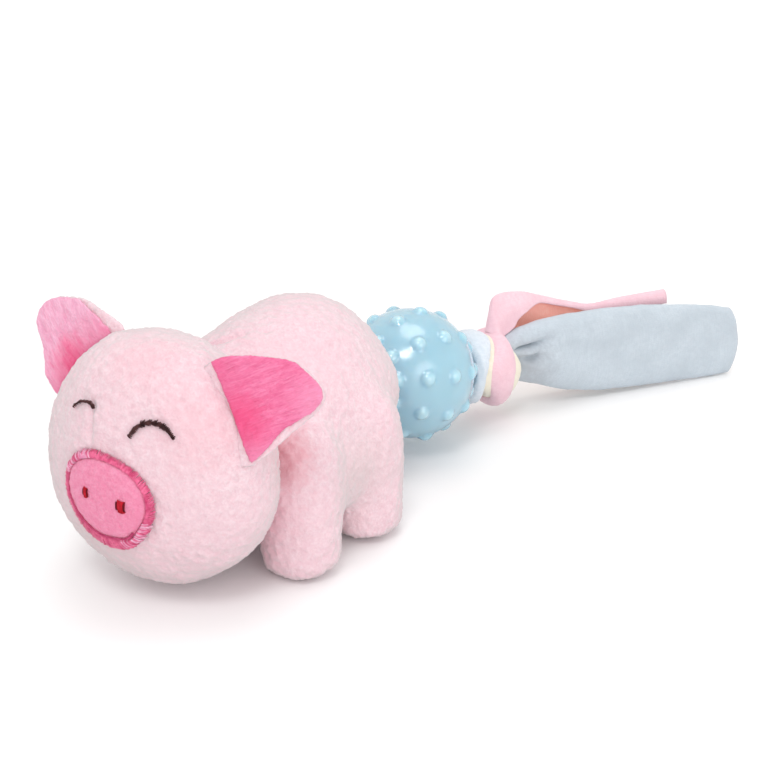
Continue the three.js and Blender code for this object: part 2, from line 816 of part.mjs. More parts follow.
// Each tail lies in its own upright plane, beside its neighbour
const yellowAside = -(blueTailThickness / 2 + tailSideGap + yellowTailThickness / 2);
const pinkAside = yellowAside - (yellowTailThickness + pinkTailThickness + pinkTailLean) / 2 - tailSideGap;

const share = (from, to, value) => from + (to - from) * value;

function makeBlueTail() {
  const start = tailStart(0, 0);
  const neck = blueTailNeck / 2;
  const endZ = blueTailEndHeight / 2 + tailFloorGap;
  const tail = ribbonForm(tailRows, tailColumns, (u) => {
    const spread = smooth(neck / blueTailLength, blueTailSpreadShare, u);
    const centre = start.clone().addScaledVector(tailHeading, u * blueTailLength);
    centre.z = share(start.z, endZ, u);
    const flatHeight = share(blueTailHeight, blueTailEndHeight, u);
    const flatThickness = share(blueTailThickness, blueTailEndThickness, u);
    const tip = tipShare(u, neck / blueTailLength, tailTipShare);
    return {
      centre,
      side: tailSide,
      halfHeight: share(neck, flatHeight / 2, spread) * tip,
      halfThickness: share(blueTailNeckThickness, flatThickness, spread) / 2 * tip,
      squareness: share(1, blueTailSquareness, spread),
    };
  });
  return piece('blue_tail', tail, cloth(colours.jerseyBlue));
}

function makeYellowTail() {
  const start = tailStart(yellowAside, 0);
  const neck = yellowTailNeck / 2;
  const endZ = blueTailHeight / 2 + tailFloorGap;
  const tail = ribbonForm(tailRows, tailColumns, (u) => {
    const tip = tipShare(u, neck / yellowTailLength, tailTipShare);
    const spread = smooth(neck / yellowTailLength, yellowTailSpreadShare, u);
    const centre = start.clone().addScaledVector(tailHeading, u * yellowTailLength);
    centre.z = share(start.z, endZ, spread);
    return {
      centre,
      side: tailSide,
      halfHeight: share(neck, yellowTailHeight / 2, spread) * tip,
      halfThickness: yellowTailThickness / 2 * tip,
      squareness: flatTailSquareness,
    };
  });
  return piece('yellow_tail', tail, cloth(colours.jerseyYellow));
}

// The pink tail's top edge rises out of the knot, dips and rises again, in shares of its highest point
const pinkTopShares = [0.98, 1.01, 0.95, 0.87, 0.83, 0.81, 0.82, 0.83];

function makePinkTail() {
  const start = tailStart(pinkAside, pinkTailAbove);
  const neck = pinkTailNeck / 2;
  const tops = new THREE.CatmullRomCurve3(pinkTopShares.map((rise, index) => vector(
    index / (pinkTopShares.length - 1) * pinkTailLength,
    0,
    rise * pinkTailTop,
  )));
  const tail = ribbonForm(tailRows, tailColumns, (u) => {
    const top = tops.getPoint(u);
    const spread = smooth(0, pinkTailSpreadShare, u);
    const centre = start.clone().addScaledVector(tailHeading, top.x);
    centre.z = share(start.z, top.z - pinkTailWidth / 2, spread);
    const tip = tipShare(u, neck / pinkTailLength, tailTipShare);
    return {
      centre,
      side: tailSide,
      lean: pinkTailLean / pinkTailWidth,
      halfHeight: share(neck, pinkTailWidth / 2, spread) * tip,
      halfThickness: pinkTailThickness / 2 * tip,
      squareness: flatTailSquareness,
    };
  });
  return piece('pink_tail', tail, cloth(colours.jerseyPink));
}

const pig = new THREE.Group();
pig.add(...makeHead(), ...makeBody(), ...makeSqueaker(), ...makeLegs());
pig.add(...makeSnout(), ...makeEyes());
pig.add(...makeEar('left', 1, earLeft), ...makeEar('right', -1, earRight));
pig.add(...makeAnchors(), ...makeStrips(), makeBall(), ...makeKnot());
pig.add(makeBlueTail(), makeYellowTail(), makePinkTail());

// The origin is under the middle of the whole toy, on the surface that it stands on
pig.updateMatrixWorld(true);
const extent = new THREE.Box3().setFromObject(pig, true);
const middle = extent.getCenter(vector(0, 0, 0));
pig.position.set(-middle.x, -middle.y, -extent.min.z);

export default pig;
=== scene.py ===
import json
import math

import bpy
import bmesh
import numpy as np
from mathutils import Euler, Matrix, Vector


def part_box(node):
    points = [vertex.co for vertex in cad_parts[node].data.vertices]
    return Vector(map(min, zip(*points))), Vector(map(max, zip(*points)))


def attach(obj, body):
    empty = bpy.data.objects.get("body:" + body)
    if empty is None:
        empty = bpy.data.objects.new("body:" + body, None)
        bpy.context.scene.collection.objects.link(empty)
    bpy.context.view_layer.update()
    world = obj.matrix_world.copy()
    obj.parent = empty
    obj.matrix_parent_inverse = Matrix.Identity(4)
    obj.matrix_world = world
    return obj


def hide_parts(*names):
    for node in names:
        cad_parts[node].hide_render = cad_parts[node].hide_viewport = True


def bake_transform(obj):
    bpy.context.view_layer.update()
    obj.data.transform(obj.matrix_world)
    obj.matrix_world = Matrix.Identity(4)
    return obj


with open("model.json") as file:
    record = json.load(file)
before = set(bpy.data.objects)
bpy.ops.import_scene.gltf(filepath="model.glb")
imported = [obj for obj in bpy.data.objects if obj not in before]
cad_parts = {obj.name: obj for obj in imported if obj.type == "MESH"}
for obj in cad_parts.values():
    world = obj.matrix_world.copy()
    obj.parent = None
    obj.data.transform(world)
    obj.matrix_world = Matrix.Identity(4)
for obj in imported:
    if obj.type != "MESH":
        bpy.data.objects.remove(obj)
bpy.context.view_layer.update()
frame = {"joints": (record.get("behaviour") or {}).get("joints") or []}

MM = 0.001
pi = math.pi
deg = math.radians
scene = bpy.context.scene
VOXEL = 0.0026
CLOTH_FRAMES = 20

# The pig's own frame has its head's centre plane at x = 0 and the floor at z = 0. The squeaker's reed places it.
REED_Y = 56.2
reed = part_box("squeaker_reed")
ORIGIN = np.array([(reed[0].x + reed[1].x) / 2, (reed[0].y + reed[1].y) / 2 - REED_Y * MM, 0.0])
pivot = {j["name"]: np.array(j["pos_m"]) for j in frame["joints"]}
BALL_R = 22.0


# ---- camera, lights and world
def place(x, y, z):
    """A point given in millimetres in the pig's frame."""
    return Vector((ORIGIN[0] + x * MM, ORIGIN[1] + y * MM, z * MM))


def add_object(name, data):
    made = bpy.data.objects.new(name, data)
    scene.collection.objects.link(made)
    return made


IMAGE, FOCAL, SENSOR = 768, 1500, 36  # the photograph's width and the focal length in pixels, the sensor in mm
TURN, RISE = deg(37.6), deg(23.0)
camera_data = bpy.data.cameras.new("camera")
camera_data.sensor_width = SENSOR
camera_data.lens = FOCAL * SENSOR / IMAGE
camera_data.clip_start = 0.01
camera_data.clip_end = 50
camera = add_object("camera", camera_data)
camera.location = place(278.9, -260.5, 221.9)
back = Vector((math.sin(TURN) * math.cos(RISE), -math.cos(TURN) * math.cos(RISE), math.sin(RISE)))
right = Vector((math.cos(TURN), math.sin(TURN), 0))
camera.rotation_euler = Matrix((right, back.cross(right), back)).transposed().to_euler()
scene.camera = camera
scene.view_settings.view_transform = "Standard"

lit = place(0, 60, 30)
for name, position, size, power in (
        ("key", place(390, -656, 1279), 0.42, 3.2),
        ("fill", place(1900, -700, 700), 1.6, 9),
        ("top", place(-100, 500, 2200), 1.3, 7.5)):
    data = bpy.data.lights.new(name, "AREA")
    data.shape = "DISK"
    data.size = size
    data.energy = power
    light = add_object(name, data)
    light.location = position
    light.rotation_euler = (lit - position).to_track_quat("-Z", "Y").to_euler()

# the world lights the object evenly, and the camera sees a white backdrop above the floor
scene.world = bpy.data.worlds.new("world")
scene.world.use_nodes = True
nodes, links = scene.world.node_tree.nodes, scene.world.node_tree.links
ambient = nodes["Background"]
ambient.inputs["Color"].default_value = (1.0, 0.995, 0.99, 1)
ambient.inputs["Strength"].default_value = 0.88
backdrop = nodes.new("ShaderNodeBackground")
backdrop.inputs["Color"].default_value = (1, 1, 1, 1)
either = nodes.new("ShaderNodeMixShader")
links.new(nodes.new("ShaderNodeLightPath").outputs["Is Camera Ray"], either.inputs["Fac"])
links.new(ambient.outputs[0], either.inputs[1])
links.new(backdrop.outputs[0], either.inputs[2])
links.new(either.outputs[0], nodes["World Output"].inputs["Surface"])


# ---- materials
class Nodes:
    """Short calls that add and link a material's nodes."""

    def __init__(self, name):
        self.material = bpy.data.materials.new(name)
        self.material.use_nodes = True
        self.tree = self.material.node_tree
        self.bsdf = self.tree.nodes["Principled BSDF"]
        self.coords = self.add("ShaderNodeTexCoord").outputs["Object"]

    def feed(self, socket, value):
        """Links a node's output to a socket, or sets the socket to a number, a vector or a colour."""
        if isinstance(value, bpy.types.NodeSocket):
            self.tree.links.new(value, socket)
        elif socket.type == "RGBA":
            socket.default_value = (*value, 1)
        else:
            socket.default_value = value

    def add(self, kind, inputs=None, **values):
        node = self.tree.nodes.new(kind)
        for key, value in values.items():
            setattr(node, key, value)
        for key, value in (inputs or {}).items():
            self.feed(node.inputs[key], value)
        return node

    def noise(self, scale, detail=2.0, roughness=0.5, distortion=0.0):
        return self.add("ShaderNodeTexNoise", {"Vector": self.coords, "Scale": scale, "Detail": detail,
                                               "Roughness": roughness, "Distortion": distortion}).outputs["Fac"]

    def ramp(self, value, *stops):
        """Colours at positions; a number stands for a grey."""
        node = self.add("ShaderNodeValToRGB", {"Fac": value})
        ramp = node.color_ramp
        while len(ramp.elements) < len(stops):
            ramp.elements.new(0.5)
        for element, (position, colour) in zip(ramp.elements, stops):
            element.position = position
            element.color = (*colour, 1) if isinstance(colour, tuple) else (colour, colour, colour, 1)
        return node.outputs["Color"]

    def mix(self, factor, a, b):
        return self.add("ShaderNodeMix", {"Factor": factor, "A": a, "B": b}, data_type="RGBA").outputs["Result"]

    def math(self, operation, a, b):
        return self.add("ShaderNodeMath", {0: a, 1: b}, operation=operation).outputs[0]

    def uneven(self, value, noise, amount):
        """A value that noise pushes up and down by half an amount."""
        return self.math("ADD", value, self.math("MULTIPLY", self.math("SUBTRACT", noise, 0.5), amount))

    def measure(self, operation, vector):
        """The surface's DISTANCE from a point, or its DOT_PRODUCT with a direction."""
        return self.add("ShaderNodeVectorMath", {0: self.coords, 1: tuple(map(float, vector))},
                        operation=operation).outputs["Value"]

    def graze(self, blend):
        """How far the surface turns away from sight."""
        return self.add("ShaderNodeLayerWeight", {"Blend": blend}).outputs["Facing"]

    def bump(self, *layers):
        """Layers of (height, strength, distance in metres)."""
        normal = None
        for height, strength, distance in layers:
            node = self.add("ShaderNodeBump", {"Strength": strength, "Distance": distance, "Height": height})
            if normal is not None:
                self.feed(node.inputs["Normal"], normal)
            normal = node.outputs["Normal"]
        self.set(Normal=normal)

    def patches(self, base, spots, grain):
        """Soft patches of another colour: (x, y, z, radius, share, colour), in millimetres in the pig's frame."""
        for x, y, z, radius, share, colour in spots:
            away = self.math("MULTIPLY", self.measure("DISTANCE", place(x, y, z)), 1 / (radius * MM))
            base = self.mix(self.ramp(self.uneven(away, grain, 0.7), (0.15, share), (1.0, 0)), base, colour)
        return base

    def set(self, **values):
        for key, value in values.items():
            self.feed(self.bsdf.inputs[key.replace("_", " ")], value)


def pile(name, light, dark, sheen=(1, 0.9, 0.93), nap=900, deep=None, rim=None, lay=None, root=None, spots=()):
    """Short-pile plush: soft tufts, a fine nap and a pale sheen at grazing angles.
    lay = (along, across, away) turns the nap into streaks along the first direction;
    root = (point, direction, reach, colour) deepens the pile towards a seam;
    spots = (x, y, z, radius, share, colour), in millimetres in the pig's frame, tint soft patches of another colour,
    on the body mostly painted shade and painted light; rim is a grey mixed in towards the outline as painted shade."""
    m = Nodes(name)
    plain = m.coords
    if lay:
        parts = m.add("ShaderNodeCombineXYZ")
        for direction, share, socket in zip(lay, (0.16, 1.0, 1.0), parts.inputs):
            m.feed(socket, m.measure("DOT_PRODUCT", [c * share for c in direction]))
        m.coords = parts.outputs[0]
    tufts = m.noise(nap * 0.5, 3, 0.6, 0.6 if lay else 0.0)
    fine = m.noise(nap * 1.5, 2, 0.6)
    m.coords = plain
    both = m.math("ADD", m.math("MULTIPLY", tufts, 0.5), m.math("MULTIPLY", fine, 0.5))
    between = tuple((a + b) / 2 for a, b in zip(light, dark))
    base = m.ramp(both, (0.34, dark), (0.5, between), (0.62, light))
    if deep:
        base = m.mix(m.ramp(m.noise(28), (0.45, 0), (0.7, 0.5)), base, deep)
    if root:
        point, direction, reach, colour = root
        along = m.measure("DOT_PRODUCT", [c / reach for c in direction])
        away = m.math("SUBTRACT", along, float(np.dot(point, direction)) / reach)
        base = m.mix(m.ramp(m.uneven(away, m.noise(110), 0.9), (0.0, 0.45), (1.0, 0)), base, colour)
    base = m.patches(base, spots, tufts)
    # painted shade: the pile turns greyer towards the outline, where the surface turns away from sight
    if rim:
        base = m.mix(m.ramp(m.graze(0.3), (0.2, 0), (0.7, 0.85)), base, rim)
    m.set(Base_Color=base, Roughness=1.0, Specular_IOR_Level=0.15, Sheen_Weight=0.25, Sheen_Roughness=0.5,
          Sheen_Tint=sheen, Subsurface_Weight=0.12, Subsurface_Scale=0.004, Subsurface_Radius=(1.0, 0.5, 0.5))
    m.bump((tufts, 0.55, 0.0008), (fine, 0.6, 0.0003))
    return m.material


def jersey(name, light, dark, through=0.0, spots=()):
    """Fine jersey knit along the tails: rows of small loops, a soft marl and some wear. through is a painted glow, an
    emission that stands in for the light that comes through the cloth."""
    m = Nodes(name)
    turned = m.add("ShaderNodeMapping", {"Vector": m.coords, "Rotation": (0, 0, deg(-30))}).outputs["Vector"]
    ribs, loops = (
        m.add("ShaderNodeTexWave", {"Vector": turned, "Scale": scale, "Distortion": distortion, "Detail": 1.0,
                                    "Detail Scale": detail}, bands_direction=direction).outputs["Fac"]
        for direction, scale, distortion, detail in (("Z", 420, 1.2, 3.0), ("Y", 520, 1.4, 1.0)))
    marl = m.noise(700, 3, 0.6)
    knit = m.math("MULTIPLY", ribs, loops)
    shade = m.math("ADD", m.math("MULTIPLY", knit, 0.15), m.math("MULTIPLY", marl, 0.85))
    base = m.ramp(shade, (0.3, dark), (0.6, light))
    worn = m.ramp(m.noise(95, 2, 0.55), (0.35, 0), (0.7, 0.7))
    base = m.patches(m.mix(worn, base, tuple(c * 0.93 for c in dark)), spots, marl)
    m.set(Base_Color=base, Roughness=0.95, Specular_IOR_Level=0.2, Sheen_Weight=0.25, Sheen_Roughness=0.5,
          Sheen_Tint=(1, 1, 1), Subsurface_Weight=0.1, Subsurface_Scale=0.003, Subsurface_Radius=(1.0, 0.8, 0.8),
          Emission_Color=dark, Emission_Strength=through)
    m.bump((knit, 0.12, 0.0003), (marl, 0.25, 0.0003))
    return m.material


def thread(name, light, dark, matt=False):
    """Embroidery thread, shiny unless matt."""
    m = Nodes(name)
    m.set(Base_Color=m.ramp(m.noise(500, 2, 0.6), (0.35, dark), (0.65, light)), Roughness=0.85 if matt else 0.5,
          Specular_IOR_Level=0.12 if matt else 0.45, Sheen_Weight=0.0 if matt else 0.2, Sheen_Roughness=0.4)
    m.bump((m.noise(2500, 1, 0.5), 0.2, 0.0001))
    return m.material


def rubber(name):
    """Milky translucent rubber, a little uneven in depth, with painted light that makes the nubs paler and painted
    shade that darkens it towards its outline.
    """
    m = Nodes(name)
    base = m.ramp(m.noise(35), (0.35, (0.30, 0.555, 0.69)), (0.65, (0.335, 0.59, 0.72)))
    # painted light: the rubber turns paler the higher it stands on a nub, for the light the translucent nubs catch
    rise = m.math("SUBTRACT", m.measure("DISTANCE", pivot["ball_spin"]), BALL_R * MM)
    height = m.math("MULTIPLY", rise, 1 / (1.9 * MM))
    base = m.mix(m.ramp(height, (0.1, 0), (0.55, 0.2), (1.0, 0.6)), base, (0.56, 0.77, 0.85))
    # painted shade: darker towards the outline, where the surface turns away from sight
    base = m.mix(m.ramp(m.graze(0.4), (0.35, 0), (0.9, 0.5)), base, (0.22, 0.48, 0.62))
    m.set(Base_Color=base, Roughness=0.24, Specular_IOR_Level=0.6, Subsurface_Weight=0.8, Subsurface_Scale=0.008,
          Subsurface_Radius=(0.5, 0.85, 1.0), Coat_Weight=1.0, Coat_Roughness=0.19, Coat_IOR=1.9)
    m.bump((m.noise(260), 0.06, 0.0003))
    return m.material


# soft patches in the pale pile: most are painted shade, pinker or greyer where the pile lies in shade behind the ear,
# on the front leg, between the legs, low on the head and along the rump's edge; one is painted light on the hind toe;
# the last two are a pinker tone on the cheek and the crown
BLUSH_AND_SHADE, PAINTED_SHADE_GREY, SHADE = (0.84, 0.36, 0.42), (0.66, 0.55, 0.55), (0.55, 0.25, 0.29)
PAINTED_SHADE_ROSE, PAINTED_LIGHT = (1.0, 0.66, 0.73), (1.0, 0.77, 0.81)
SHADE_LIGHT_AND_BLUSH_SPOTS = [
    (27, 17, 42, 14, 0.7, BLUSH_AND_SHADE), (18, 20, 24, 16, 0.9, PAINTED_SHADE_ROSE), (17, 20, 8, 14, 0.9, PAINTED_SHADE_ROSE),
    (23, 48, 9, 14, 0.9, PAINTED_LIGHT), (33, 45, 27, 17, 0.5, PAINTED_SHADE_GREY), (30, 84, 25, 24, 0.75, PAINTED_SHADE_GREY),
    (-8, -20, 14, 20, 0.5, PAINTED_SHADE_GREY), (-27, -8, 26, 20, 0.3, PAINTED_SHADE_GREY), (26, 16, 38, 9, 0.5, SHADE),
    (25, -9, 59, 15, 0.22, BLUSH_AND_SHADE), (6, -7, 73, 15, 0.18, BLUSH_AND_SHADE),
]
BLUE_KNIT = (0.60, 0.665, 0.725), (0.54, 0.605, 0.665)
pale = pile("plush_pale", (0.88, 0.69, 0.735), (0.785, 0.535, 0.595), deep=(0.85, 0.59, 0.65), rim=(0.67, 0.60, 0.605),
            spots=SHADE_LIGHT_AND_BLUSH_SPOTS)
velour = pile("velour_pink", (0.91, 0.36, 0.52), (0.80, 0.22, 0.37), (1, 0.7, 0.8), 1300, deep=(0.88, 0.25, 0.41))
thread_pink = thread("thread_pink", (0.88, 0.18, 0.35), (0.62, 0.05, 0.17))
thread_wine_pink = thread("thread_wine_pink", (0.62, 0.10, 0.22), (0.46, 0.05, 0.14), matt=True)
thread_glint = thread("thread_glint", (0.90, 0.50, 0.66), (0.76, 0.24, 0.42))
thread_brown = thread("thread_brown", (0.10, 0.042, 0.042), (0.025, 0.01, 0.011), matt=True)
thread_red = thread("thread_red", (0.60, 0.02, 0.04), (0.36, 0.01, 0.02), matt=True)
thread_wine = thread("thread_wine", (0.16, 0.01, 0.02), (0.09, 0.006, 0.012), matt=True)
jersey_blue = jersey("jersey_blue", *BLUE_KNIT)
# a paler copy of the blue jersey for the knot's blue band: painted light
jersey_blue_tight = jersey("jersey_blue_tight", (0.76, 0.81, 0.87), (0.68, 0.74, 0.81))
jersey_pink = jersey("jersey_pink", (0.93, 0.645, 0.71), (0.88, 0.565, 0.64))
# the pink strip's inner face: a salmon copy of the pink jersey that glows faintly, painted light for light through the
# thin cloth
jersey_pink_inside = jersey("jersey_pink_inside", (1.0, 0.55, 0.48), (0.98, 0.47, 0.40), through=0.08)
jersey_yellow = jersey("jersey_yellow", (0.94, 0.87, 0.74), (0.89, 0.81, 0.66))


# ---- numbers and meshes
def to_row(points_mm):
    """Millimetres in the pig's frame to metres in the row frame."""
    return np.asarray(points_mm, float) * MM + ORIGIN


def smoothstep(a, b, x):
    t = np.clip((np.asarray(x, float) - a) / (b - a), 0, 1)
    return t * t * (3 - 2 * t)


def bell(x, centre, width):
    return np.exp(-((x - centre) / width) ** 2)


def mix(a, b, t):
    return a + (b - a) * t


def unit(v, axis=None):
    return v / np.linalg.norm(v, axis=axis, keepdims=axis is not None)


def circle(count):
    """Angles evenly round a circle."""
    return np.arange(count) / count * 2 * pi


def same_shape(*values):
    return np.broadcast_arrays(*(np.asarray(v, float) for v in values))


def catmull(points, samples):
    """A smooth line through points, evenly spaced."""
    p = np.asarray(points, float)
    padded = np.vstack([2 * p[0] - p[1], p, 2 * p[-1] - p[-2]])
    t = np.linspace(0, 1, 20, endpoint=False)[:, None]
    out = []
    for i in range(1, len(padded) - 2):
        a, b, c, d = padded[i - 1:i + 3]
        square, cube = (2 * a - 5 * b + 4 * c - d) * t ** 2, (3 * b - a - 3 * c + d) * t ** 3
        out.append(0.5 * (2 * b + (c - a) * t + square + cube))
    out = np.vstack([*out, p[-1:]])
    length = np.r_[0, np.cumsum(np.linalg.norm(np.diff(out, axis=0), axis=1))]
    at = np.linspace(0, length[-1], samples)
    return np.stack([np.interp(at, length, out[:, k]) for k in range(out.shape[1])], -1)


def grid_ring(rows, sides, offset=0, closed=False):
    """Faces of a tube grid whose sections close round, and whose ends meet where it is closed."""
    faces = []
    for row in range(rows if closed else rows - 1):
        here, there = offset + row * sides, offset + (row + 1) % rows * sides
        faces += [(here + s, there + s, there + (s + 1) % sides, here + (s + 1) % sides) for s in range(sides)]
    return faces


def capped_tube(rows, sides, offset=0):
    """Faces of a tube grid with a flat cap at either end."""
    last = offset + (rows - 1) * sides
    caps = [tuple(range(offset, offset + sides)), tuple(range(last + sides - 1, last - 1, -1))]
    return grid_ring(rows, sides, offset) + caps


def closed_form(rows, columns, point):
    """A closed surface: poles at u = 0 and 1, once round in v. point(u, v) returns an array of points."""
    u = np.repeat(np.arange(1, rows) / rows, columns)
    v = np.tile(np.arange(columns) / columns, rows - 1)
    first, last = (point(np.array([end]), np.array([0.0])) for end in (0.0, 1.0))
    points = np.vstack([first, point(u, v), last])
    end, base = len(points) - 1, 1 + (rows - 2) * columns
    faces = [(0, 1 + (c + 1) % columns, 1 + c) for c in range(columns)]
    faces += grid_ring(rows - 1, columns, 1)
    faces += [(end, base + c, base + (c + 1) % columns) for c in range(columns)]
    return points, faces


def make_object(name, points, faces, material):
    """A smooth mesh from points in metres in the row frame."""
    mesh = bpy.data.meshes.new(name)
    mesh.from_pydata([tuple(p) for p in points], [], [tuple(f) for f in faces])
    mesh.validate()
    work = bmesh.new()
    work.from_mesh(mesh)
    bmesh.ops.recalc_face_normals(work, faces=work.faces)
    work.to_mesh(mesh)
    work.free()
    mesh.materials.append(material)
    mesh.shade_smooth()
    return add_object(name, mesh)


def declare(piece, slot, body, *nodes):
    """Hides the nodes that a piece stands for and puts the piece on the body it rides on; slot is not used."""
    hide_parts(*nodes)
    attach(piece, body)


def points_of(obj):
    return np.array([v.co for v in obj.data.vertices])


def move_points(obj, points):
    obj.data.vertices.foreach_set("co", points.astype(np.float32).ravel())
    obj.data.update()


def apply_modifiers(obj):
    graph = bpy.context.evaluated_depsgraph_get()
    mesh = bpy.data.meshes.new_from_object(obj.evaluated_get(graph))
    obj.modifiers.clear()
    old, obj.data = obj.data, mesh
    bpy.data.meshes.remove(old)
    obj.data.shade_smooth()


def modify(obj, kind, **values):
    """Adds a modifier with these values and applies it."""
    modifier = obj.modifiers.new(kind.lower(), kind)
    for key, value in values.items():
        setattr(modifier, key, value)
    apply_modifiers(obj)


def rough(obj, *layers):
    """Pushes the surface in and out by procedural solid textures, as layers of (size, strength, depth)."""
    for size, strength, depth in layers:
        texture = bpy.data.textures.new(f"{obj.name}_nap_{len(obj.modifiers)}", "CLOUDS")
        texture.noise_scale = size
        texture.noise_depth = depth
        modifier = obj.modifiers.new("nap", "DISPLACE")
        modifier.texture = texture
        modifier.texture_coords = "LOCAL"
        modifier.mid_level = 0.5
        modifier.strength = strength
    apply_modifiers(obj)


def inflate(obj, cap):
    """Swells a stuffed form as cloth under pressure, and keeps each point within cap of where it was."""
    start = points_of(obj)
    cloth = obj.modifiers.new("cloth", "CLOTH")
    for key, value in dict(quality=6, mass=0.002, tension_stiffness=8, compression_stiffness=8, shear_stiffness=3,
                           bending_stiffness=0.02, use_pressure=True, uniform_pressure_force=4.0).items():
        setattr(cloth.settings, key, value)
    cloth.settings.effector_weights.gravity = 0
    cloth.collision_settings.use_collision = False
    cloth.collision_settings.use_self_collision = False
    for number in range(1, CLOTH_FRAMES + 1):
        scene.frame_set(number)
    graph = bpy.context.evaluated_depsgraph_get()
    moved = points_of(obj.evaluated_get(graph))
    obj.modifiers.clear()
    scene.frame_set(1)
    step = moved - start
    length = np.linalg.norm(step, axis=1, keepdims=True)
    move_points(obj, start + step * np.minimum(1, cap / np.maximum(length, 1e-9)))


def stuffed(obj, smoothing, cap):
    """Makes one skin of a form, smooths it, swells it by at most cap and gives it finer faces."""
    modify(obj, "REMESH", mode="VOXEL", voxel_size=VOXEL)
    modify(obj, "SMOOTH", iterations=smoothing, factor=0.5)
    inflate(obj, cap)
    modify(obj, "SUBSURF", levels=2, render_levels=2)


def reshape(obj, change):
    """Moves a form's points by change(points), in millimetres in the pig's frame."""
    local = (points_of(obj) - ORIGIN) / MM
    move_points(obj, to_row(local + change(local)))


def groove(obj, path_mm, width, depth, centre_mm):
    """Presses a soft crease into a form towards its centre, along a path given in the pig's frame."""
    path = to_row(catmull(path_mm, 30))
    co = points_of(obj)
    distance = np.full(len(co), 1.0)
    share = np.zeros(len(co))
    for k, point in enumerate(path):
        d = np.linalg.norm(co - point, axis=1)
        share = np.where(d < distance, k / (len(path) - 1), share)
        distance = np.minimum(distance, d)
    fade = np.clip(np.sin(share * pi) * 1.6, 0, 1)
    press = depth * MM * bell(distance, 0, width * MM) * fade
    move_points(obj, co + unit(to_row(centre_mm) - co, 1) * press[:, None])


# ---- head, in millimetres in the pig's frame
HALF_W, HALF_H, FRONT, BACK = 35.0, 36.0, 23, 26  # half width and height, and depth before and behind the middle
FULLNESS = 0.85
JOWL, JOWL_AT, JOWL_SPREAD = 0.05, -0.4, 0.5
HEAD_TURN = np.array(Euler((0, 0, deg(8))).to_matrix() @ Euler((0, deg(3.5), 0)).to_matrix())
HEAD_CLEARANCE = 3.4
HEAD_CENTRE = np.array([0, 0, HEAD_CLEARANCE + HALF_H])
PLUSH_TUFTS = (0.012, 0.0010, 1), (0.0022, 0.0009, 2), (0.0009, 0.00042, 1)


def head_point(azimuth, elevation, inset=0.0):
    """The head's surface; azimuth 0 is the front."""
    azimuth, elevation = same_shape(azimuth, elevation)
    rise = np.sin(elevation)
    ring = np.maximum(np.cos(elevation), 0) ** FULLNESS
    jowl = 1 + JOWL * bell(rise, JOWL_AT, JOWL_SPREAD)
    depth = np.where(np.cos(azimuth) > 0, FRONT, BACK)
    points = np.stack([
        (HALF_W - inset) * jowl * ring * np.sin(azimuth),
        -(depth - inset) * ring * np.cos(azimuth),
        (HALF_H - inset) * rise,
    ], -1)
    return points @ HEAD_TURN.T + HEAD_CENTRE


def head_normal(azimuth, elevation):
    step = 0.01
    across = head_point(azimuth + step, elevation) - head_point(azimuth - step, elevation)
    upward = head_point(azimuth, elevation + step) - head_point(azimuth, elevation - step)
    return unit(np.cross(across, upward), -1)


def inside_head(points, grow):
    """Whether points are inside the head grown by a length."""
    local = (points - HEAD_CENTRE) @ HEAD_TURN
    rise = local[:, 2] / (HALF_H + grow)
    ring = np.clip(1 - rise ** 2, 0, 1) ** (FULLNESS / 2)
    jowl = 1 + JOWL * bell(rise, JOWL_AT, JOWL_SPREAD)
    depth = np.where(local[:, 1] < 0, FRONT, BACK) + grow
    reach = np.hypot(local[:, 0] / ((HALF_W + grow) * jowl), local[:, 1] / depth)
    return (reach < ring) & (np.abs(rise) < 1)


def head_change(p):
    """The chin hangs a little to one side, and the crown is full."""
    step = np.zeros_like(p)
    step[:, 0] = -1.1 * (1 - smoothstep(12, 36, p[:, 2]))
    step[:, 2] = 1.3 * smoothstep(60, 75, p[:, 2]) - 0.3 * (1 - smoothstep(4, 14, p[:, 2]))
    return step


points, faces = closed_form(40, 64, lambda u, v: head_point(v * 2 * pi, (u - 0.5) * pi, 0.1))
head = make_object("head_plush", to_row(points), faces, pale)
stuffed(head, 2, 0.0008)
reshape(head, head_change)
# sewing the ears on draws the cover in along their roots, and its centre seam pulls in a little between the eyes
ROOTS = ((84, 64), (77, 54), (73, 42), (71, 29), (71, 17)), ((-100, 66), (-90, 54), (-84, 42), (-81, 29), (-81, 16))
left_root, right_root = ([head_point(deg(a), deg(e)) for a, e in root] for root in ROOTS)
between_eyes = (-5.5, -18.0, 63.5), (-4.5, -20.0, 59.0), (-4.0, -21.5, 53.5), (-3.8, -22.3, 51.0)
for path, width, depth in ((left_root, 2.6, 0.9), (right_root, 3.4, 1.8), (between_eyes, 1.0, 1.2)):
    groove(head, path, width, depth, HEAD_CENTRE)
rough(head, *PLUSH_TUFTS)
declare(head, "plush_pale", "pig", "head_skin", "head_stuffing")

# ---- body and legs, one sewn cover
HALF_BODY = 32.0, 44.5, 30.0  # half width, length and height
BODY_Y, BODY_Z = 51.5, 41.5
BODY_FULLNESS = 0.72
TAPER, TAPER_START = 0.2, -0.8  # the body narrows above a height, as a share of the half height
SLOPE, DROP = 11, 3.5  # the rump's slope, and how far the shoulders lie lower
LEG = [(0.0, 0.78), (0.02, 0.91), (0.07, 1.0), (0.2, 1.02), (0.35, 1.0), (0.5, 1.0), (0.65, 0.98), (0.8, 0.9),
       (0.92, 0.7), (1.0, 0.3)]
LEG_R, LEG_H, LEG_GROW = 12, 48, 0.3
OUT, BACKWARD = 0.79, 0.61  # a level direction, out to the side and to the back


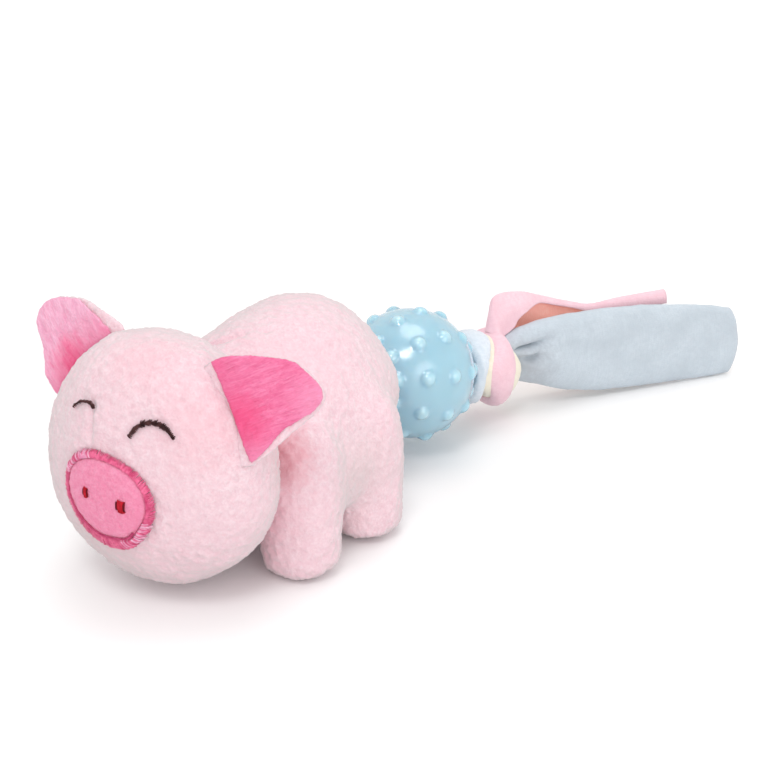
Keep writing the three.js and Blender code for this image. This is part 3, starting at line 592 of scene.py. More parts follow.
def body_point(along, around):
    """The body without its legs, from the front (along = 0) to the rump."""
    half_w, half_l, half_h = HALF_BODY
    ring = np.maximum(np.sin(along * pi), 0) ** BODY_FULLNESS
    rise = ring * np.sin(around)
    back_share = -np.cos(along * pi)
    climb = np.maximum(0, rise - TAPER_START) / (1 - TAPER_START)
    return np.stack([
        half_w * ring * (1 - TAPER * climb ** 2) * np.cos(around),
        BODY_Y + half_l * back_share - SLOPE * np.maximum(0, back_share) * climb,
        BODY_Z + half_h * rise - DROP * np.maximum(0, -back_share) * np.maximum(0, rise),
    ], -1)


def leg(x, y):
    """A stuffed stub leg on its level foot."""
    heights, widths = np.array(LEG).T

    def point(u, v):
        z = np.clip(u * 1.04 - 0.02, 0, 1)
        radius = np.interp(z, heights, widths) * LEG_R + LEG_GROW
        radius = np.where((u <= 0.0001) | (u >= 0.9999), 0, radius)
        around = v * 2 * pi
        return np.stack([x + radius * np.cos(around), y + radius * np.sin(around), z * LEG_H - LEG_GROW * 0.35], -1)
    return closed_form(30, 32, point)


def flank(x):
    """The fabric that spans the front and hind leg on one side, down to the fold between them."""
    def point(u, v):
        along = -np.cos(u * pi)
        ring = np.sqrt(np.clip(1 - along ** 2, 0, 1)) ** 0.35
        around = v * 2 * pi
        return np.stack([x + 10.6 * ring * np.cos(around), 45 + 24 * along, 26.5 + 14.2 * ring * np.sin(around)], -1)
    return closed_form(30, 40, point)


def body_change(p):
    """The back dips behind the head, and the rump is drawn in beside the hind legs."""
    x, y, z = p.T
    step = np.zeros_like(p)
    step[:, 2] = (-1.1 * bell(y, 24, 15) - 1.4 * bell(y, 43, 13) + 0.4 * bell(y, 66, 12)) * smoothstep(52, 64, z)
    towards = OUT * x + BACKWARD * (y - BODY_Y)
    pull = smoothstep(22, 42, towards) * (0.6 + 0.5 * (1 - smoothstep(16, 34, z)))
    pull += 1.4 * smoothstep(4, 26, towards) * bell(z, 55, 11)
    # the front leg is slimmer behind
    behind = smoothstep(30, 38, y) * (1 - smoothstep(42, 46, y))
    pull += 1.1 * smoothstep(14, 20, x) * behind * (1 - smoothstep(12, 22, z))
    # the hind foot spreads a little
    spread = 0.9 * bell(z, 3, 4.5) * smoothstep(10, 16, x) * smoothstep(45, 49, y)
    spread = spread * np.maximum(BACKWARD * (x - 25) - OUT * (y - 60.5), 0) / 10
    step[:, 0] = BACKWARD * spread - OUT * pull
    step[:, 1] = -BACKWARD * pull - OUT * spread
    return step


forms = [closed_form(44, 60, lambda u, v: body_point(u, v * 2 * pi)), flank(24), flank(-24)]
forms += [leg(x, y) for x in (25, -25) for y in (29.5, 60.5)]
faces, count = [], 0
for points, form_faces in forms:
    faces += [tuple(i + count for i in f) for f in form_faces]
    count += len(points)
body = make_object("body_plush", to_row(np.vstack([points for points, _ in forms])), faces, pale)
stuffed(body, 9, 0.0009)
reshape(body, body_change)
# puckers along the closing seam behind the head
for path, width, depth in (
        ([(-9.0, 26.0, 61.8), (-6.0, 28.2, 63.6), (-2.0, 31.0, 65.3), (2.0, 36.0, 66.6)], 1.1, 1.6),
        ([(-3.0, 24.0, 61.5), (1.0, 26.0, 62.9), (5.0, 29.5, 63.7)], 0.8, 1.0),
        ([(3.0, 37.0, 66.6), (5.0, 38.5, 66.6), (7.0, 41.0, 67.1)], 0.7, 0.8)):
    groove(body, path, width, depth, (0, 50, 40))
rough(body, *PLUSH_TUFTS)
declare(body, "plush_pale", "pig", "body_skin", "body_stuffing", "squeaker_bulb", "squeaker_reed", "leg_front_left",
        "leg_front_right", "leg_hind_left", "leg_hind_right", "strip_anchor")

# ---- snout
SNOUT_EL = -0.036 * pi / 2
SNOUT_NORMAL = head_normal(0.0, SNOUT_EL)


def snout_point(x, z, out):
    """A point by its distances from the snout's middle, across, up and out along the snout's normal."""
    x, z, out = same_shape(x, z, out)
    elevation = np.arcsin(np.clip(np.sin(SNOUT_EL) + z / HALF_H, -1, 1))
    azimuth = np.arcsin(np.clip(x / (HALF_W * np.cos(elevation) ** FULLNESS), -1, 1))
    return head_point(azimuth, elevation) + out[..., None] * SNOUT_NORMAL


def snout_ring(radius, around, out):
    return snout_point(radius * np.cos(around), radius * np.sin(around), out)


def snout_rim(around, add=0.0):
    """Radius of the velour where the stitching covers it, fuller below the middle line and at the lower right."""
    return (11.9 - 0.6 * np.cos(around) + 0.25 * np.sin(around) + 0.5 * np.cos(2 * around) + 0.2 * np.sin(2 * around)
            + 0.4 * np.sin(3 * around) + 0.9 * bell(np.mod(around - deg(124), 2 * pi), pi, 0.28) + add)


def border_rim(around):
    """Radius of the stitching's outer edge."""
    return (14.6 - 1.1 * np.cos(around) - 1.2 * np.sin(around) - 0.1 * np.cos(2 * around) + 0.2 * np.sin(2 * around)
            + 0.4 * np.cos(3 * around) + 0.6 * np.sin(3 * around))


def snout_dome(u, v):
    """The velour: flat behind for u under a half, then back over a domed front."""
    radius = np.where(u < 0.5, u * 2, 2 - u * 2)
    around = v * 2 * pi
    edge = np.sqrt(np.clip(1 - radius ** 8, 0, 1))
    return snout_ring(snout_rim(around, 0.6) * radius, around, np.where(u < 0.5, -0.4, 0.7 + 1.9 * edge))


points, faces = closed_form(52, 96, snout_dome)
patch = make_object("snout_velour", to_row(points), faces, velour)
modify(patch, "SUBSURF", levels=1, render_levels=1)
rough(patch, (0.0016, 0.0004, 2), (0.0007, 0.00025, 1))
declare(patch, "velour_pink", "pig", "snout_patch")


def threads(name, node, slot, material, radius, starts, ends, lifts):
    """Satin stitches: one arched thread from each start to its end. lifts are the arches' height vectors, or one
    for them all."""
    segments, sides = 5, 6
    t = np.linspace(0, 1, segments + 1)
    around = circle(sides)
    size = radius * np.where((t == 0) | (t == 1), 0.6, 1.0)
    points, faces = [], []
    for a, b, lift in zip(starts, ends, np.broadcast_to(lifts, starts.shape)):
        line = a + np.outer(t, b - a) + np.outer(1 - (2 * t - 1) ** 4, lift)
        along, rise = unit(b - a), unit(lift)
        rise = unit(rise - along * (rise @ along))
        section = np.cos(around)[:, None] * np.cross(along, rise) + np.sin(around)[:, None] * rise
        faces += capped_tube(segments + 1, sides, len(points) * (segments + 1) * sides)
        points.append((line[:, None, :] + size[:, None, None] * section[None]).reshape(-1, 3))
    declare(make_object(name, to_row(np.vstack(points)), faces, material), slot, "pig", node)


random = np.random.default_rng(7)
count = 372
around = circle(count)
inner_at, outer_at = snout_rim(around), border_rim(around) + random.normal(0, 0.2, count)
slant = 0.05 + random.normal(0, 0.009, count)
# painted highlights: in two sectors about a third of the threads are paler, where the satin border catches the light
painted_glints = (np.abs(around - deg(138)) < deg(24)) | (np.abs(around - deg(314)) < deg(26))
painted_glints = painted_glints & (random.random(count) < 0.34)
for name, chosen, material, lift in (("snout_stitches", ~painted_glints, thread_pink, 1.2),
                                     ("snout_glint", painted_glints, thread_glint, 1.35)):
    threads(name, "snout_border", "thread_pink", material, 0.2,
            snout_ring(inner_at[chosen], around[chosen], 1.0),
            snout_ring(outer_at[chosen], around[chosen] + slant[chosen], 0.25),
            SNOUT_NORMAL * lift * (1 + random.normal(0, 0.07, chosen.sum()))[:, None])
# a darker row of stitches lies along the inside of the ring at its lower edge
around = np.linspace(deg(195), deg(318), 90)
threads("snout_inner_row", "snout_border", "thread_pink", thread_wine_pink, 0.12,
        snout_ring(snout_rim(around, -0.55), around, 2.35), snout_ring(snout_rim(around, 0.15), around + 0.03, 2.1),
        SNOUT_NORMAL * 0.25)

for side, x, z_mid, width, height in (("left", 5.7, 0.5, 2.5, 3.3), ("right", -5.7, 1.2, 1.5, 2.8)):
    share = np.arange(12) / 11
    z = z_mid + (share - 0.5) * height
    half = width / 2 * (0.85 + 0.15 * np.sin(share * pi))
    threads(f"nostril_{side}_stitches", f"nostril_{side}", "thread_red", thread_red, 0.2,
            snout_point(x - half, z + 0.15, 2.45), snout_point(x + half, z - 0.15, 2.45), SNOUT_NORMAL * 0.55)
    # dark stitches close both upright edges
    edges = x + np.array([-1.0, -0.78, 0.78, 1.0]) * width / 2
    threads(f"nostril_{side}_edges", f"nostril_{side}", "thread_red", thread_wine, 0.13,
            snout_point(edges, z_mid - height / 2, 2.4), snout_point(edges, z_mid + height / 2, 2.4),
            SNOUT_NORMAL * 0.65)

# ---- eyes, as arches of short stitches
EYE_DEPTH = 28.8  # the head's level radius at the eyes, before it narrows upwards
# azimuth and elevation of the peak, half width, drop at the ends, sweep, tilt, number of stitches and their weight
for side, azimuth, peak, half, drop, sweep, tilt, count, weight in (
        ("left", 22.0, 36.6, 4.85, 3.7, deg(68), 0.6, 34, 1.0),
        ("right", -21.6, 36.8, 3.0, 1.7, deg(62), 1.0, 22, 0.62)):
    t = np.linspace(-1, 1, count) * sweep
    ring = math.cos(deg(peak)) ** FULLNESS
    az = deg(azimuth) + half * np.sin(t) / math.sin(sweep) / (EYE_DEPTH * ring)
    el = deg(peak) + (tilt * t / sweep - drop * (1 - np.cos(t)) / (1 - math.cos(sweep))) / (HALF_H * ring)
    middle, normal = head_point(az, el), head_normal(az, el)
    tangent = unit(np.gradient(middle, axis=0), 1)
    aslant = np.cross(normal, tangent) + tangent * 0.25
    reach = (0.56 + 0.38 * random.random((count, 1)) - 0.25 * (np.abs(t / sweep) ** 6)[:, None]) * weight
    threads(f"eye_{side}_stitches", f"eye_{side}", "thread_brown", thread_brown, 0.2 + 0.04 * weight,
            middle - aslant * reach + normal * 0.5,
            middle + aslant * (reach + random.normal(0, 0.1, (count, 1))) + normal * 0.5, normal * 0.5)

# ---- ears
# top and low are the seam's ends on the head, outline is in shares of the seam and of the reach, floor is the seam's
# lowest line, straight is where the pink pile ends above it, and root and paler are soft patches in that pile
EARS = {
    "left": dict(
        sign=1, seam=32, reach=27, lift=38, top=(80, 66), low=(72, 12), floor=-1.4, straight=1.2,
        light=(0.90, 0.25, 0.44), dark=(0.77, 0.135, 0.29), root=(1.0, 0.65), paler=((3, 24, 9), (14, 5, 8)),
        outline=[(-0.01, 0.03), (0, 0.22), (0.09, 0.52), (0.22, 0.79), (0.36, 0.90), (0.50, 0.97), (0.60, 0.96),
                 (0.68, 0.86), (0.73, 0.70), (0.79, 0.50), (0.85, 0.33), (0.89, 0.19), (0.915, 0.06)]),
    "right": dict(
        sign=-1, seam=27.5, reach=25.4, lift=20, top=(-104, 68), low=(-82, 13), floor=-2.5, straight=-9.0,
        light=(0.92, 0.50, 0.655), dark=(0.84, 0.335, 0.50), root=(2.0, 0.75), paler=(),
        outline=[(-0.14, 0.0), (-0.09, 0.21), (0.0, 0.42), (0.115, 0.62), (0.23, 0.745), (0.42, 0.93), (0.60, 1.0),
                 (0.74, 0.96), (0.81, 0.82), (0.83, 0.64), (0.885, 0.45), (0.96, 0.26), (1.0, 0.01)]),
}
N_LEAF, N_SEAM = 130, 44
N_EDGE = N_LEAF + N_SEAM


def curl(x, y, ear):
    """How far the leaf bends forward, from nothing at the seam."""
    return 2 * np.clip(x / (ear["seam"] / 2), -1.1, 1.1) ** 2 * smoothstep(-2, 9, y) - 1.2 * (y / ear["reach"]) ** 2


for side, ear in EARS.items():
    top, low = (head_point(deg(azimuth), deg(elevation)) for azimuth, elevation in (ear["top"], ear["low"]))
    middle = (top + low) / 2
    seam = unit(low - top)
    outward = middle - HEAD_CENTRE
    outward = unit(outward - seam * (outward @ seam))
    backward = np.cross(outward, seam) * ear["sign"]
    reach_dir = outward * math.cos(deg(ear["lift"])) + backward * math.sin(deg(ear["lift"]))
    front = unit(np.cross(seam, reach_dir)) * ear["sign"]
    base = middle + outward * 1.6
    leaf_line = catmull([((a - 0.5) * ear["seam"], b * ear["reach"]) for a, b in ear["outline"]], N_LEAF)
    # the sewn edge follows the head
    seam_x = np.linspace(leaf_line[-1, 0], leaf_line[0, 0], N_SEAM + 2)[1:-1]
    seam_y = np.zeros(N_SEAM)
    steps = np.arange(9, -7, -0.1)
    for k, x in enumerate(seam_x):
        tries = base + x * seam + steps[:, None] * reach_dir + (curl(x, steps, ear) + 0.5)[:, None] * front
        hit = np.nonzero(inside_head(tries, -0.9))[0]
        seam_y[k] = max(steps[hit[0]] if len(hit) else -2.5, ear["floor"])
    seam_y = np.convolve(np.pad(seam_y, 3, "edge"), np.ones(7) / 7, "valid")
    outline = np.vstack([leaf_line, np.stack([seam_x, seam_y], -1)])
    hub = np.array([0, ear["reach"] * 0.42])

    def leaf(outline, inset, behind, ahead, puff):
        """A thin closed leaf inside the outline, between two heights, with a puffed front."""
        rim = outline - hub
        size = np.linalg.norm(rim, axis=1, keepdims=True)
        rim = rim / size * np.maximum(size - inset[:, None], 0)

        def point(u, v):
            column = np.round(v * N_EDGE).astype(int) % N_EDGE
            radius = np.where(u < 0.5, u * 2, 2 - u * 2)
            flat = hub + rim[column] * radius[:, None]
            edge = np.sqrt(np.clip(1 - radius ** 6, 0, 1))
            height = (behind + ahead) / 2 + np.where(u < 0.5, -1, 1) * ((ahead - behind) / 2) * edge
            height = height + np.where(u < 0.5, 0, puff * (1 - radius ** 2)) + curl(flat[:, 0], flat[:, 1], ear)
            return base + flat[:, :1] * seam + flat[:, 1:] * reach_dir + height[:, None] * front
        points, faces = closed_form(80, N_EDGE, point)
        return to_row(points), faces

    ear_back = make_object(f"ear_{side}_plush", *leaf(outline, np.zeros(N_EDGE), -1.7, 0.7, 0.0), pale)
    rough(ear_back, (0.003, 0.0006, 2), (0.0007, 0.0004, 1))
    declare(ear_back, "plush_pale", f"ear_{side}", f"ear_{side}_back")

    # how far the pink pile stays inside the outline, first by the leaf's edge, then along the seam
    along = np.arange(N_LEAF) / (N_LEAF - 1)
    if side == "left":
        inset = 0.15 + 1.9 * smoothstep(0.50, 0.82, along) - 0.9 * smoothstep(0.90, 1, along)
        inset = np.r_[inset, np.full(N_SEAM, 0.55)]
    else:
        inset = 0.3 + 2.5 * (1 - smoothstep(0.06, 0.32, along)) + 1.5 * (1 - smoothstep(0.0, 0.10, along))
        inset = np.r_[inset, 0.9 + 3.4 * (1 - smoothstep(0.0, 0.24, np.linspace(1, 0, N_SEAM)))]
    inset = np.convolve(np.pad(inset, 4, "wrap"), np.ones(9) / 9, "valid")
    face_line = np.stack([outline[:, 0], np.maximum(outline[:, 1], ear["straight"])], -1)
    spots = [(*(base + reach_dir * 3.5 + seam * ear["root"][0]), 9, ear["root"][1], (0.84, 0.06, 0.20))]
    spots += [(*(base + reach_dir * b + seam * a), radius, 0.4, (0.93, 0.42, 0.61)) for a, b, radius in ear["paler"]]
    deep = pile(f"plush_deep_{side}", ear["light"], ear["dark"], (1, 0.75, 0.85), 1500, lay=(reach_dir, seam, front),
                root=(to_row(base), reach_dir, ear["reach"] * 0.45 * MM, (0.86, 0.11, 0.27)), spots=spots)
    lining = make_object(f"ear_{side}_pink_pile", *leaf(face_line, inset, 0.2, 1.7, 0.5), deep)
    rough(lining, (0.003, 0.0007, 2), (0.0007, 0.0004, 1))
    declare(lining, "plush_deep", f"ear_{side}", f"ear_{side}_lining")

# ---- strand, in millimetres in the row frame
STRAND_YAW, STRAND_DIP = deg(10.5), deg(9.3)
along_dir = np.array([math.sin(STRAND_YAW) * math.cos(STRAND_DIP), math.cos(STRAND_YAW) * math.cos(STRAND_DIP),
                      -math.sin(STRAND_DIP)])
side_dir = unit(np.cross(along_dir, [0, 0, 1]))
up_dir = np.cross(side_dir, along_dir)
strand_root, ball_centre = pivot["strand_lift"] / MM, pivot["ball_spin"] / MM
BALL_AT = float((ball_centre - strand_root) @ along_dir)
KNOT_START = BALL_AT + BALL_R + 0.8
KNOT_LENGTH = 17.9
KNOT_END = KNOT_START + KNOT_LENGTH


def on_strand(distance, radius, around):
    """A point round the strand. Angle 0 is the side, 90 degrees is up."""
    distance, radius, around = same_shape(distance, radius, around)
    return (strand_root + distance[..., None] * along_dir + (radius * np.cos(around))[..., None] * side_dir
            + (radius * np.sin(around))[..., None] * up_dir)


def row_object(name, rows, faces, material):
    return make_object(name, np.vstack(rows) * MM, faces, material)


# ---- rubber ball
def ball_profile():
    """(radius, distance along the strand, angle) round the shell's section, from one mouth over the outside and back
    through the inside. The angle is None where no nubs can stand."""
    bore, inner_r, lip = 5.0, BALL_R - 3.4, 0.02
    start, start_in = math.asin(bore / BALL_R) + lip, math.asin(bore / inner_r) + lip
    outer = [(BALL_R * math.sin(a), -BALL_R * math.cos(a), a) for a in np.linspace(start, pi - start, 120)]
    inner = [(inner_r * math.sin(a), -inner_r * math.cos(a), None) for a in np.linspace(pi - start_in, start_in, 60)]
    far, near = (
        [(bore + 0.25 * (1 - math.sin(t * pi)), mix(here, there, t), None) for t in (0.15, 0.5, 0.85)]
        for here, there in ((outer[-1][1], inner[0][1]), (inner[-1][1], outer[0][1])))
    return outer + far + inner + near


RINGS, PER_RING, RING_STEP = 5, 10, deg(27)
NUB_R, NUB_H = 2.55, 1.55
MOULD_AT = 0.62  # the angle of the moulding lines from the poles
nub_dirs = []
for ring in range(RINGS):
    polar = pi / 2 + (ring - 2) * RING_STEP
    for index in range(PER_RING):
        around = deg(13) + index / PER_RING * 2 * pi
        nub_dirs.append((math.sin(polar) * math.cos(around), math.cos(polar), math.sin(polar) * math.sin(around)))
# the nubs' directions turn from +Y onto the strand
to_strand = np.array(Vector((0, 1, 0)).rotation_difference(Vector(along_dir)).to_matrix())
nub_dirs = np.array(nub_dirs) @ to_strand.T
profile, columns = ball_profile(), 200
rows = []
for radius, distance, angle in profile:
    ring_points = on_strand(BALL_AT + distance, radius, circle(columns))
    if angle is not None:
        directions = (ring_points - ball_centre) / BALL_R
        near = np.arccos(np.clip(directions @ nub_dirs.T, -1, 1)).min(1) * BALL_R
        dome = np.clip(1 - (near / NUB_R) ** 2, 0, 1) ** 0.65 * NUB_H
        fillet = 0.25 * np.exp(-((near / 2.8) ** 4))
        # faint moulding lines near both poles
        band = 0.10 * (bell(angle, MOULD_AT, 0.02) + bell(pi - angle, MOULD_AT, 0.02))
        ring_points = ring_points + directions * (np.maximum(dome, fillet) + band)[:, None]
    rows.append(ring_points)
ball = row_object("nubbed_ball", rows, grid_ring(len(profile), columns, closed=True), rubber("rubber_blue"))
declare(ball, "rubber_blue", "ball", "rubber_ball")

# ---- strips through the ball, gathered side by side
STRIP_ROWS, STRIP_COLUMNS = 90, 40
STRIP_R, STRIP_OFF = 1.95, 2.05  # a gathered strip's radius, and how far its middle lies from the strand's
for colour, phase, material, nodes in (("blue", deg(60), jersey_blue, ["strip_blue", "strip_root"]),
                                       ("pink", deg(180), jersey_pink, ["strip_pink"]),
                                       ("yellow", deg(300), jersey_yellow, ["strip_yellow"])):
    v = circle(STRIP_COLUMNS)
    rows = []
    for d in np.linspace(-5.5, KNOT_END + 0.3, STRIP_ROWS):
        turn = phase + 0.35 * math.sin(d * 0.045)
        radius = STRIP_R * (1 + 0.16 * np.sin(5 * v + d * 0.12 + phase) + 0.08 * np.sin(9 * v - d * 0.2))
        x, z = STRIP_OFF * math.cos(turn) + radius * np.cos(v), STRIP_OFF * math.sin(turn) + radius * np.sin(v)
        rows.append(strand_root + d * along_dir + x[:, None] * side_dir + z[:, None] * up_dir)
    strip = row_object(f"strip_{colour}_cloth", rows, capped_tube(STRIP_ROWS, STRIP_COLUMNS), material)
    declare(strip, f"jersey_{colour}", "strand", *nodes)


# ---- knot
OFF_BALL = 2.15  # the least distance from the ball's skin to the bands


def wrap(colour, material, left, right, radius, bulge, seed, inner=4.6, folds=0.28, sag=1.4, belly=0.0):
    """A band of jersey wound round the strand. left and right are its edges' distances from the knot's start,
    each at the top, at the side towards the pig's left, below and at the other side."""
    n_around, n_section = 240, 48
    section = circle(n_section)
    c, s = np.cos(section), np.sin(section)
    rows = []
    for angle in circle(n_around):
        shares = [max(v, 0) ** 2 for v in (math.sin(angle), math.cos(angle), -math.sin(angle), -math.cos(angle))]
        first, last = (sum(value * share for value, share in zip(edge, shares)) for edge in (left, right))
        along = KNOT_START + (first + last) / 2 + (last - first) / 2 * np.sign(c) * np.abs(c) ** 0.8
        across = inner + (radius - inner) * (0.5 + 0.5 * np.sign(s) * np.abs(s) ** 0.8)
        lump = 0.25 * math.sin(2 * angle + seed) + 0.12 * math.sin(3 * angle + 2.1 * seed)
        fold = folds * np.sin(along * 2.6 + 1.5 * math.sin(angle * 1.5 + seed)) * math.sin(angle * 2 + seed) ** 2
        across = across + np.clip(s, 0, 1) * (bulge * (1 - c ** 2) + lump + fold) + belly * shares[2]
        # the turns press against the ball without reaching its nubs
        reach = on_strand(along, across, angle) - sag * up_dir - ball_centre
        distance = np.linalg.norm(reach, axis=1, keepdims=True)
        rows.append(ball_centre + reach * np.maximum(1, (BALL_R + OFF_BALL) / distance))
    band = row_object(f"knot_{colour}_band", rows, grid_ring(n_around, n_section, closed=True), material)
    rough(band, (0.0012, 0.00025, 2))
    declare(band, f"jersey_{colour}", "strand", f"knot_{colour}_wrap")


# the knot's blue band wears the paler copy of the blue jersey, painted light
wrap("blue", jersey_blue_tight, (0.8, -2.0, 0.8, 0.6), (12.5, 3.1, 10.2, 12.0), 12.6, 0.5, 0.7, folds=0.4, sag=0.8)
wrap("yellow", jersey_yellow, (11.5, 2.3, 12.8, 13.0), (18.6, 24.2, 25.6, 18.4), 11.5, 0.2, 4.1, inner=3.4, folds=0.08)
wrap("pink", jersey_pink, (13.0, 6.5, 15.3, 16.0), (19.4, 18.8, 22.8, 19.4), 12.1, 1.0, 4.1, inner=9.0, folds=0.12,
     belly=1.5)

# ---- tails
TAIL_YAW = deg(30)
heading = np.array([math.sin(TAIL_YAW), math.cos(TAIL_YAW), 0.0])
tail_side = np.array([math.cos(TAIL_YAW), -math.sin(TAIL_YAW), 0.0])
zup = np.array([0.0, 0.0, 1.0])
knot_back = on_strand(KNOT_END, 0.0, 0.0)
CLOTH, CLEAR = 0.9, 0.75  # the cloth's thickness, and the least height of its middle
WEAVE = (0.0012, 0.00014, 1)


def by_knot(along, beside, height):
    """A point by its distances from the knot's back: along the tails, towards the front side, and its height."""
    along, beside, height = same_shape(along, beside, height)
    flat = np.array([knot_back[0], knot_back[1], 0.0])
    return flat + along[..., None] * heading + beside[..., None] * tail_side + height[..., None] * zup


def tail(colour, rows, material, layers=(WEAVE,)):
    """A sheet of cloth through rows of points."""
    grid = np.array(rows)
    grid[..., 2] = np.maximum(grid[..., 2], CLEAR)
    n_rows, n_columns = grid.shape[:2]
    quads = [(r * n_columns + c, (r + 1) * n_columns + c, (r + 1) * n_columns + c + 1, r * n_columns + c + 1)
             for r in range(n_rows - 1) for c in range(n_columns - 1)]
    piece = row_object(f"{colour}_tail_cloth", grid, quads, material)
    modify(piece, "SOLIDIFY", thickness=CLOTH * MM, offset=0)
    rough(piece, *layers)
    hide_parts(f"{colour}_tail")
    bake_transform(piece)
    return piece


# the blue tail: a strip whose edges roll round into a flattened tube, with painted shade that makes it a little darker
# at its neck, where it is gathered
blue_pivot, yellow_pivot = pivot["tail_blue_lift"] / MM, pivot["tail_yellow_lift"] / MM
neck = (blue_pivot + heading * 5 + tail_side * 4.5) - ORIGIN / MM
neck_painted_shade = (neck[0], neck[1], 18, 15, 0.8, (0.43, 0.46, 0.50))
jersey_blue_tail = jersey("jersey_blue_tail", *BLUE_KNIT, spots=[neck_painted_shade])
BLUE_L = 101.7
BLUE_TOP = [(0, 27.5), (3, 28.8), (9.5, 31.2), (18, 32.9), (31, 33.9), (44, 33.8), (61, 33.1), (85, 29.9), (98, 27.4),
            (104, 26.3)]
BLUE_LOW = [(0, 14.0), (3, 13.8), (9.5, 12.4), (18, 9.6), (31, 5.2), (44, 3.0), (61, 1.9), (85, 1.1), (104, 0.9)]
BLUE_ROWS, BLUE_COLUMNS = 170, 100


def blue_limits(d):
    """The blue tail's top and bottom at a distance from the knot's back."""
    return (float(np.interp(d, *np.array(table).T)) for table in (BLUE_TOP, BLUE_LOW))


def blue_folds(d, height):
    """How far the front bulges at shares of the tail's half height: one deep crease above the middle, a knuckle of
    cloth under it and a dimple beside that."""
    line = 0.40 + 0.10 * smoothstep(14, 26, d)
    depth = 4.6 * smoothstep(5.5, 10.5, d) * (1 - smoothstep(13, 26, d))
    crease = depth * bell(height, line, mix(0.085, 0.20, float(smoothstep(9, 22, d))))
    lobe = 1.2 * bell(height - line, 0.34, 0.2) * bell(d, 11, 7)
    knuckle = 3.0 * bell(height, 0.20, 0.13) * bell(d, 13, 3.4)
    dimple = 4.2 * bell(height, 0, 0.19) * bell(d, 15, 4)
    belly = 1.5 * bell(height, -0.25, 0.5) * bell(d, 20, 14)
    valley = 0.8 * bell(height - 0.15 + 0.012 * (d - 30), 0, 0.25) * bell(d, 34, 14)
    waist = 2.4 * bell(height, -0.38, 0.42) * bell(d, 9, 5)
    pleats = 0.35 * np.sin(height * 11 + 2) * math.exp(-max(d - 2, 0) / 7)
    return -crease + lobe + knuckle - dimple + belly - valley - waist + pleats


def power(value, exponent):
    return np.sign(value) * np.abs(value) ** exponent


blue_first = float((blue_pivot - knot_back) @ heading) - 6.0
blue_beside = float((blue_pivot - knot_back) @ tail_side)
# each row runs from the free edge at the back's middle, under, up the front, over the top and down the back
angle = pi + np.linspace(0.03, 0.97, BLUE_COLUMNS) * 2 * pi
c, s = np.cos(angle), np.sin(angle)
rows = []
for u in np.arange(BLUE_ROWS) / (BLUE_ROWS - 1):
    d = blue_first + u * BLUE_L
    spread = float(smoothstep(0.0, 0.30, u))
    z_top, z_low = blue_limits(d)
    half_t = mix(4.2, mix(5.6, 2.4, u), spread) - 0.5
    square = mix(1.0, 0.72, spread)
    height = power(s, square)
    x = power(c, square) * half_t + np.clip(c, 0, 1) ** 0.5 * blue_folds(d, height)
    x = x - np.clip(-c, 0, 1) * (0.7 * np.sin(height * 6) * math.exp(-u / 0.2))
    # the end is cut a little round
    bow = 2.4 * (1 - np.clip(np.abs(height), 0, 1) ** 2.2) - 1.4 - 1.3 * np.clip(height, 0, 1)
    z = (z_top + z_low) / 2 + height * (z_top - z_low) / 2
    rows.append(by_knot(d + bow * smoothstep(0.9, 1.0, u), blue_beside + x, z))
tail("blue", rows, jersey_blue_tail, layers=((0.009, 0.0007, 1), WEAVE))

# the pink tail: it leaves the top of the pink band, fans out as a flap and folds down behind the blue tail.
# Each station lists the free edge, the fold and the hidden lower edge, by their distances from the knot's back.
on_band = [on_strand(KNOT_START + along, radius, deg(angle)) - 1.6 * up_dir
           for along, radius, angle in ((18.0, 11.9, 60), (14.0, 12.5, 92), (16.0, 11.4, 110))]
STATIONS = [
    [np.round(((q - knot_back) @ heading, (q - knot_back) @ tail_side, q[2]), 2) for q in on_band],
    ((3.2, 1.0, 29.6), (-0.3, -1.0, 38.4), (3.0, -6.5, 32.0)),
    ((8.2, -0.5, 32.0), (1.9, -3.0, 42.4), (5.8, -8.0, 29.5)),
    ((11.0, -2.0, 34.6), (6.8, -5.0, 43.2), (9.5, -10.0, 28.5)),
    ((15.5, -4.0, 36.3), (14.5, -6.5, 42.0), (15.0, -11.0, 24.5)),
    ((19.5, -6.0, 37.2), (19.0, -8.0, 40.4), (20.0, -11.5, 20.0)),
    ((23.5, -8.2, 36.6), (24.0, -9.8, 38.2), (25.0, -11.5, 15.0)),
    ((29.5, -9.4, 34.6), (30.0, -10.8, 35.9), (31.0, -11.5, 11.5)),
    ((37.5, -9.9, 32.2), (38.0, -11.0, 33.3), (38.0, -11.5, 9.0)),
    ((46.0, -9.9, 29.6), (46.0, -11.0, 31.6), (46.0, -11.5, 8.0)),
    ((58.0, -9.8, 28.8), (58.0, -11.0, 32.4), (58.0, -11.0, 8.0)),
    ((77.5, -9.8, 28.9), (77.5, -11.0, 32.9), (77.5, -11.0, 8.0)),
]
PINK_ROWS, PINK_COLUMNS, FINE = 150, 64, 400
guides = []  # a fine line through each column of stations, and the stations' places on it
for column in zip(*STATIONS):
    line = catmull(column, FINE)
    marks = [int(np.argmin(np.linalg.norm(line - np.array(point), axis=1))) for point in column]
    guides.append((line, np.maximum.accumulate(marks)))
rows = []
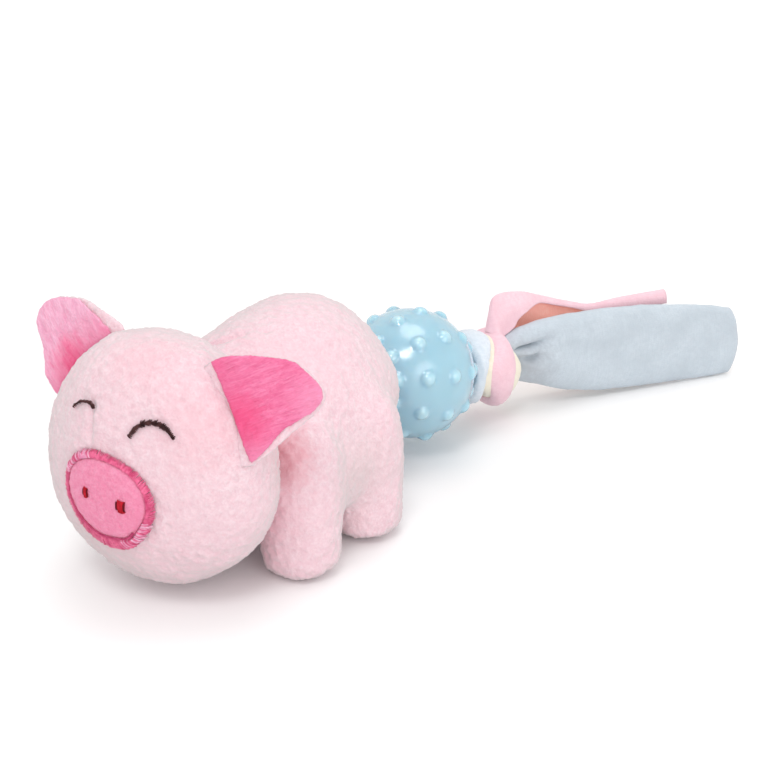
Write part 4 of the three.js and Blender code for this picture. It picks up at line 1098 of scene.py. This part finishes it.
for i in range(PINK_ROWS):
    station = i / (PINK_ROWS - 1) * (len(STATIONS) - 1)
    edge, fold, hidden = (
        np.array([np.interp(np.interp(station, range(len(STATIONS)), marks), range(FINE), axis) for axis in line.T])
        for line, marks in guides)
    size = max(float(np.linalg.norm(fold - edge)), 1.0)
    middle = (edge + fold) / 2 + np.array([-0.15, 0.9, 0.35]) * min(0.16 * size, 1.5)
    shoulder = fold + np.array([0, -1.0, -0.5]) * min(1.6, 0.35 * size + 0.5)
    down = fold * 0.55 + hidden * 0.45 + np.array([0, -0.6, 0])
    section = catmull([edge, middle, fold, shoulder, down, hidden], PINK_COLUMNS)
    wave = 0.35 * np.sin(np.linspace(0, 9, PINK_COLUMNS) + i * 0.05) * smoothstep(30, 60, i)
    rows.append(by_knot(section[:, 0], section[:, 1] + wave, section[:, 2]))
pink_tail = tail("pink", rows, jersey_pink)
# the strip's other face shows inside the fold, in a deeper salmon that glows faintly: painted light for the light that
# comes through the thin cloth and bounces in the fold. It is the half of the faces that looks to the front where the
# strip hangs down behind the blue tail.
pink_tail.data.materials.append(jersey_pink_inside)
polygons, quads = pink_tail.data.polygons, (PINK_ROWS - 1) * (PINK_COLUMNS - 1)
probe = 80 * (PINK_COLUMNS - 1) + PINK_COLUMNS - 10
inner_first = quads if np.array(polygons[quads + probe].normal) @ tail_side > 0 else 0
for index in range(inner_first, inner_first + quads):
    polygons[index].material_index = 1

# the yellow tail, between the two
YELLOW_L, YELLOW_W = 70.0, 22.0
YELLOW_ROWS, YELLOW_COLUMNS = 110, 40
v = np.linspace(-1, 1, YELLOW_COLUMNS)
rows = []
for u in np.arange(YELLOW_ROWS) / (YELLOW_ROWS - 1):
    spread = float(smoothstep(0.0, 0.45, u))
    centre = yellow_pivot + heading * (u * YELLOW_L - 3.5)
    z_top, z_low = blue_limits(float((centre - knot_back) @ heading))
    centre[2] = (z_top + z_low) / 2 - 1.5 * spread - 2.0 * (1 - spread)
    half = min(mix(4.5, YELLOW_W / 2, spread), (z_top - z_low) / 2 - 2)
    gather = 0.7 * np.sin(v * 7) * (1 - spread) + 0.4 * np.sin(v * 2.4 + u * 8)
    rows.append(centre + gather[:, None] * tail_side + (v * half)[:, None] * zup)
tail("yellow", rows, jersey_yellow)

# ---- floor
floor_mesh = bpy.data.meshes.new("floor")
floor_mesh.from_pydata([(-6, -6, 0), (6, -6, 0), (6, 6, 0), (-6, 6, 0)], [], [(0, 1, 2, 3)])
floor = add_object("floor", floor_mesh)
f = Nodes("floor_white")
path = f.add("ShaderNodeLightPath").outputs
away = f.measure("DISTANCE", place(0, 10, 0))
plain = f.ramp(f.noise(60), (0.3, 0.80), (0.7, 0.82))
# painted shade on the floor round the toy: a little darker and warmer from about 95 mm out, to tint the shadows, and
# greener close to the pig against its pink bounce light
painted_floor_shade = f.ramp(away, (0.07, (0.985, 1.0, 0.995)), (0.095, (0.965, 0.945, 0.935)), (0.2, (0.97, 0.955, 0.95)),
                    (0.5, 0.995))
# the camera sees the floor with its painted shade, and the floor lights the toy with a plain white
f.set(Base_Color=f.mix(path["Is Camera Ray"], plain, painted_floor_shade), Roughness=0.9, Specular_IOR_Level=0.1)
# far from the toy the floor glows faintly, and so meets the white backdrop
seen = f.math("MAXIMUM", path["Is Glossy Ray"], path["Is Transmission Ray"])
seen = f.math("MAXIMUM", path["Is Camera Ray"], seen)
glow = f.add("ShaderNodeEmission", {"Color": f.ramp(away, (0.15, 0), (0.5, 1)),
                                    "Strength": f.math("MULTIPLY", seen, 0.1)})
join = f.add("ShaderNodeAddShader", {0: f.bsdf.outputs[0], 1: glow.outputs[0]})
f.feed(f.tree.nodes["Material Output"].inputs["Surface"], join.outputs[0])
floor_mesh.materials.append(f.material)
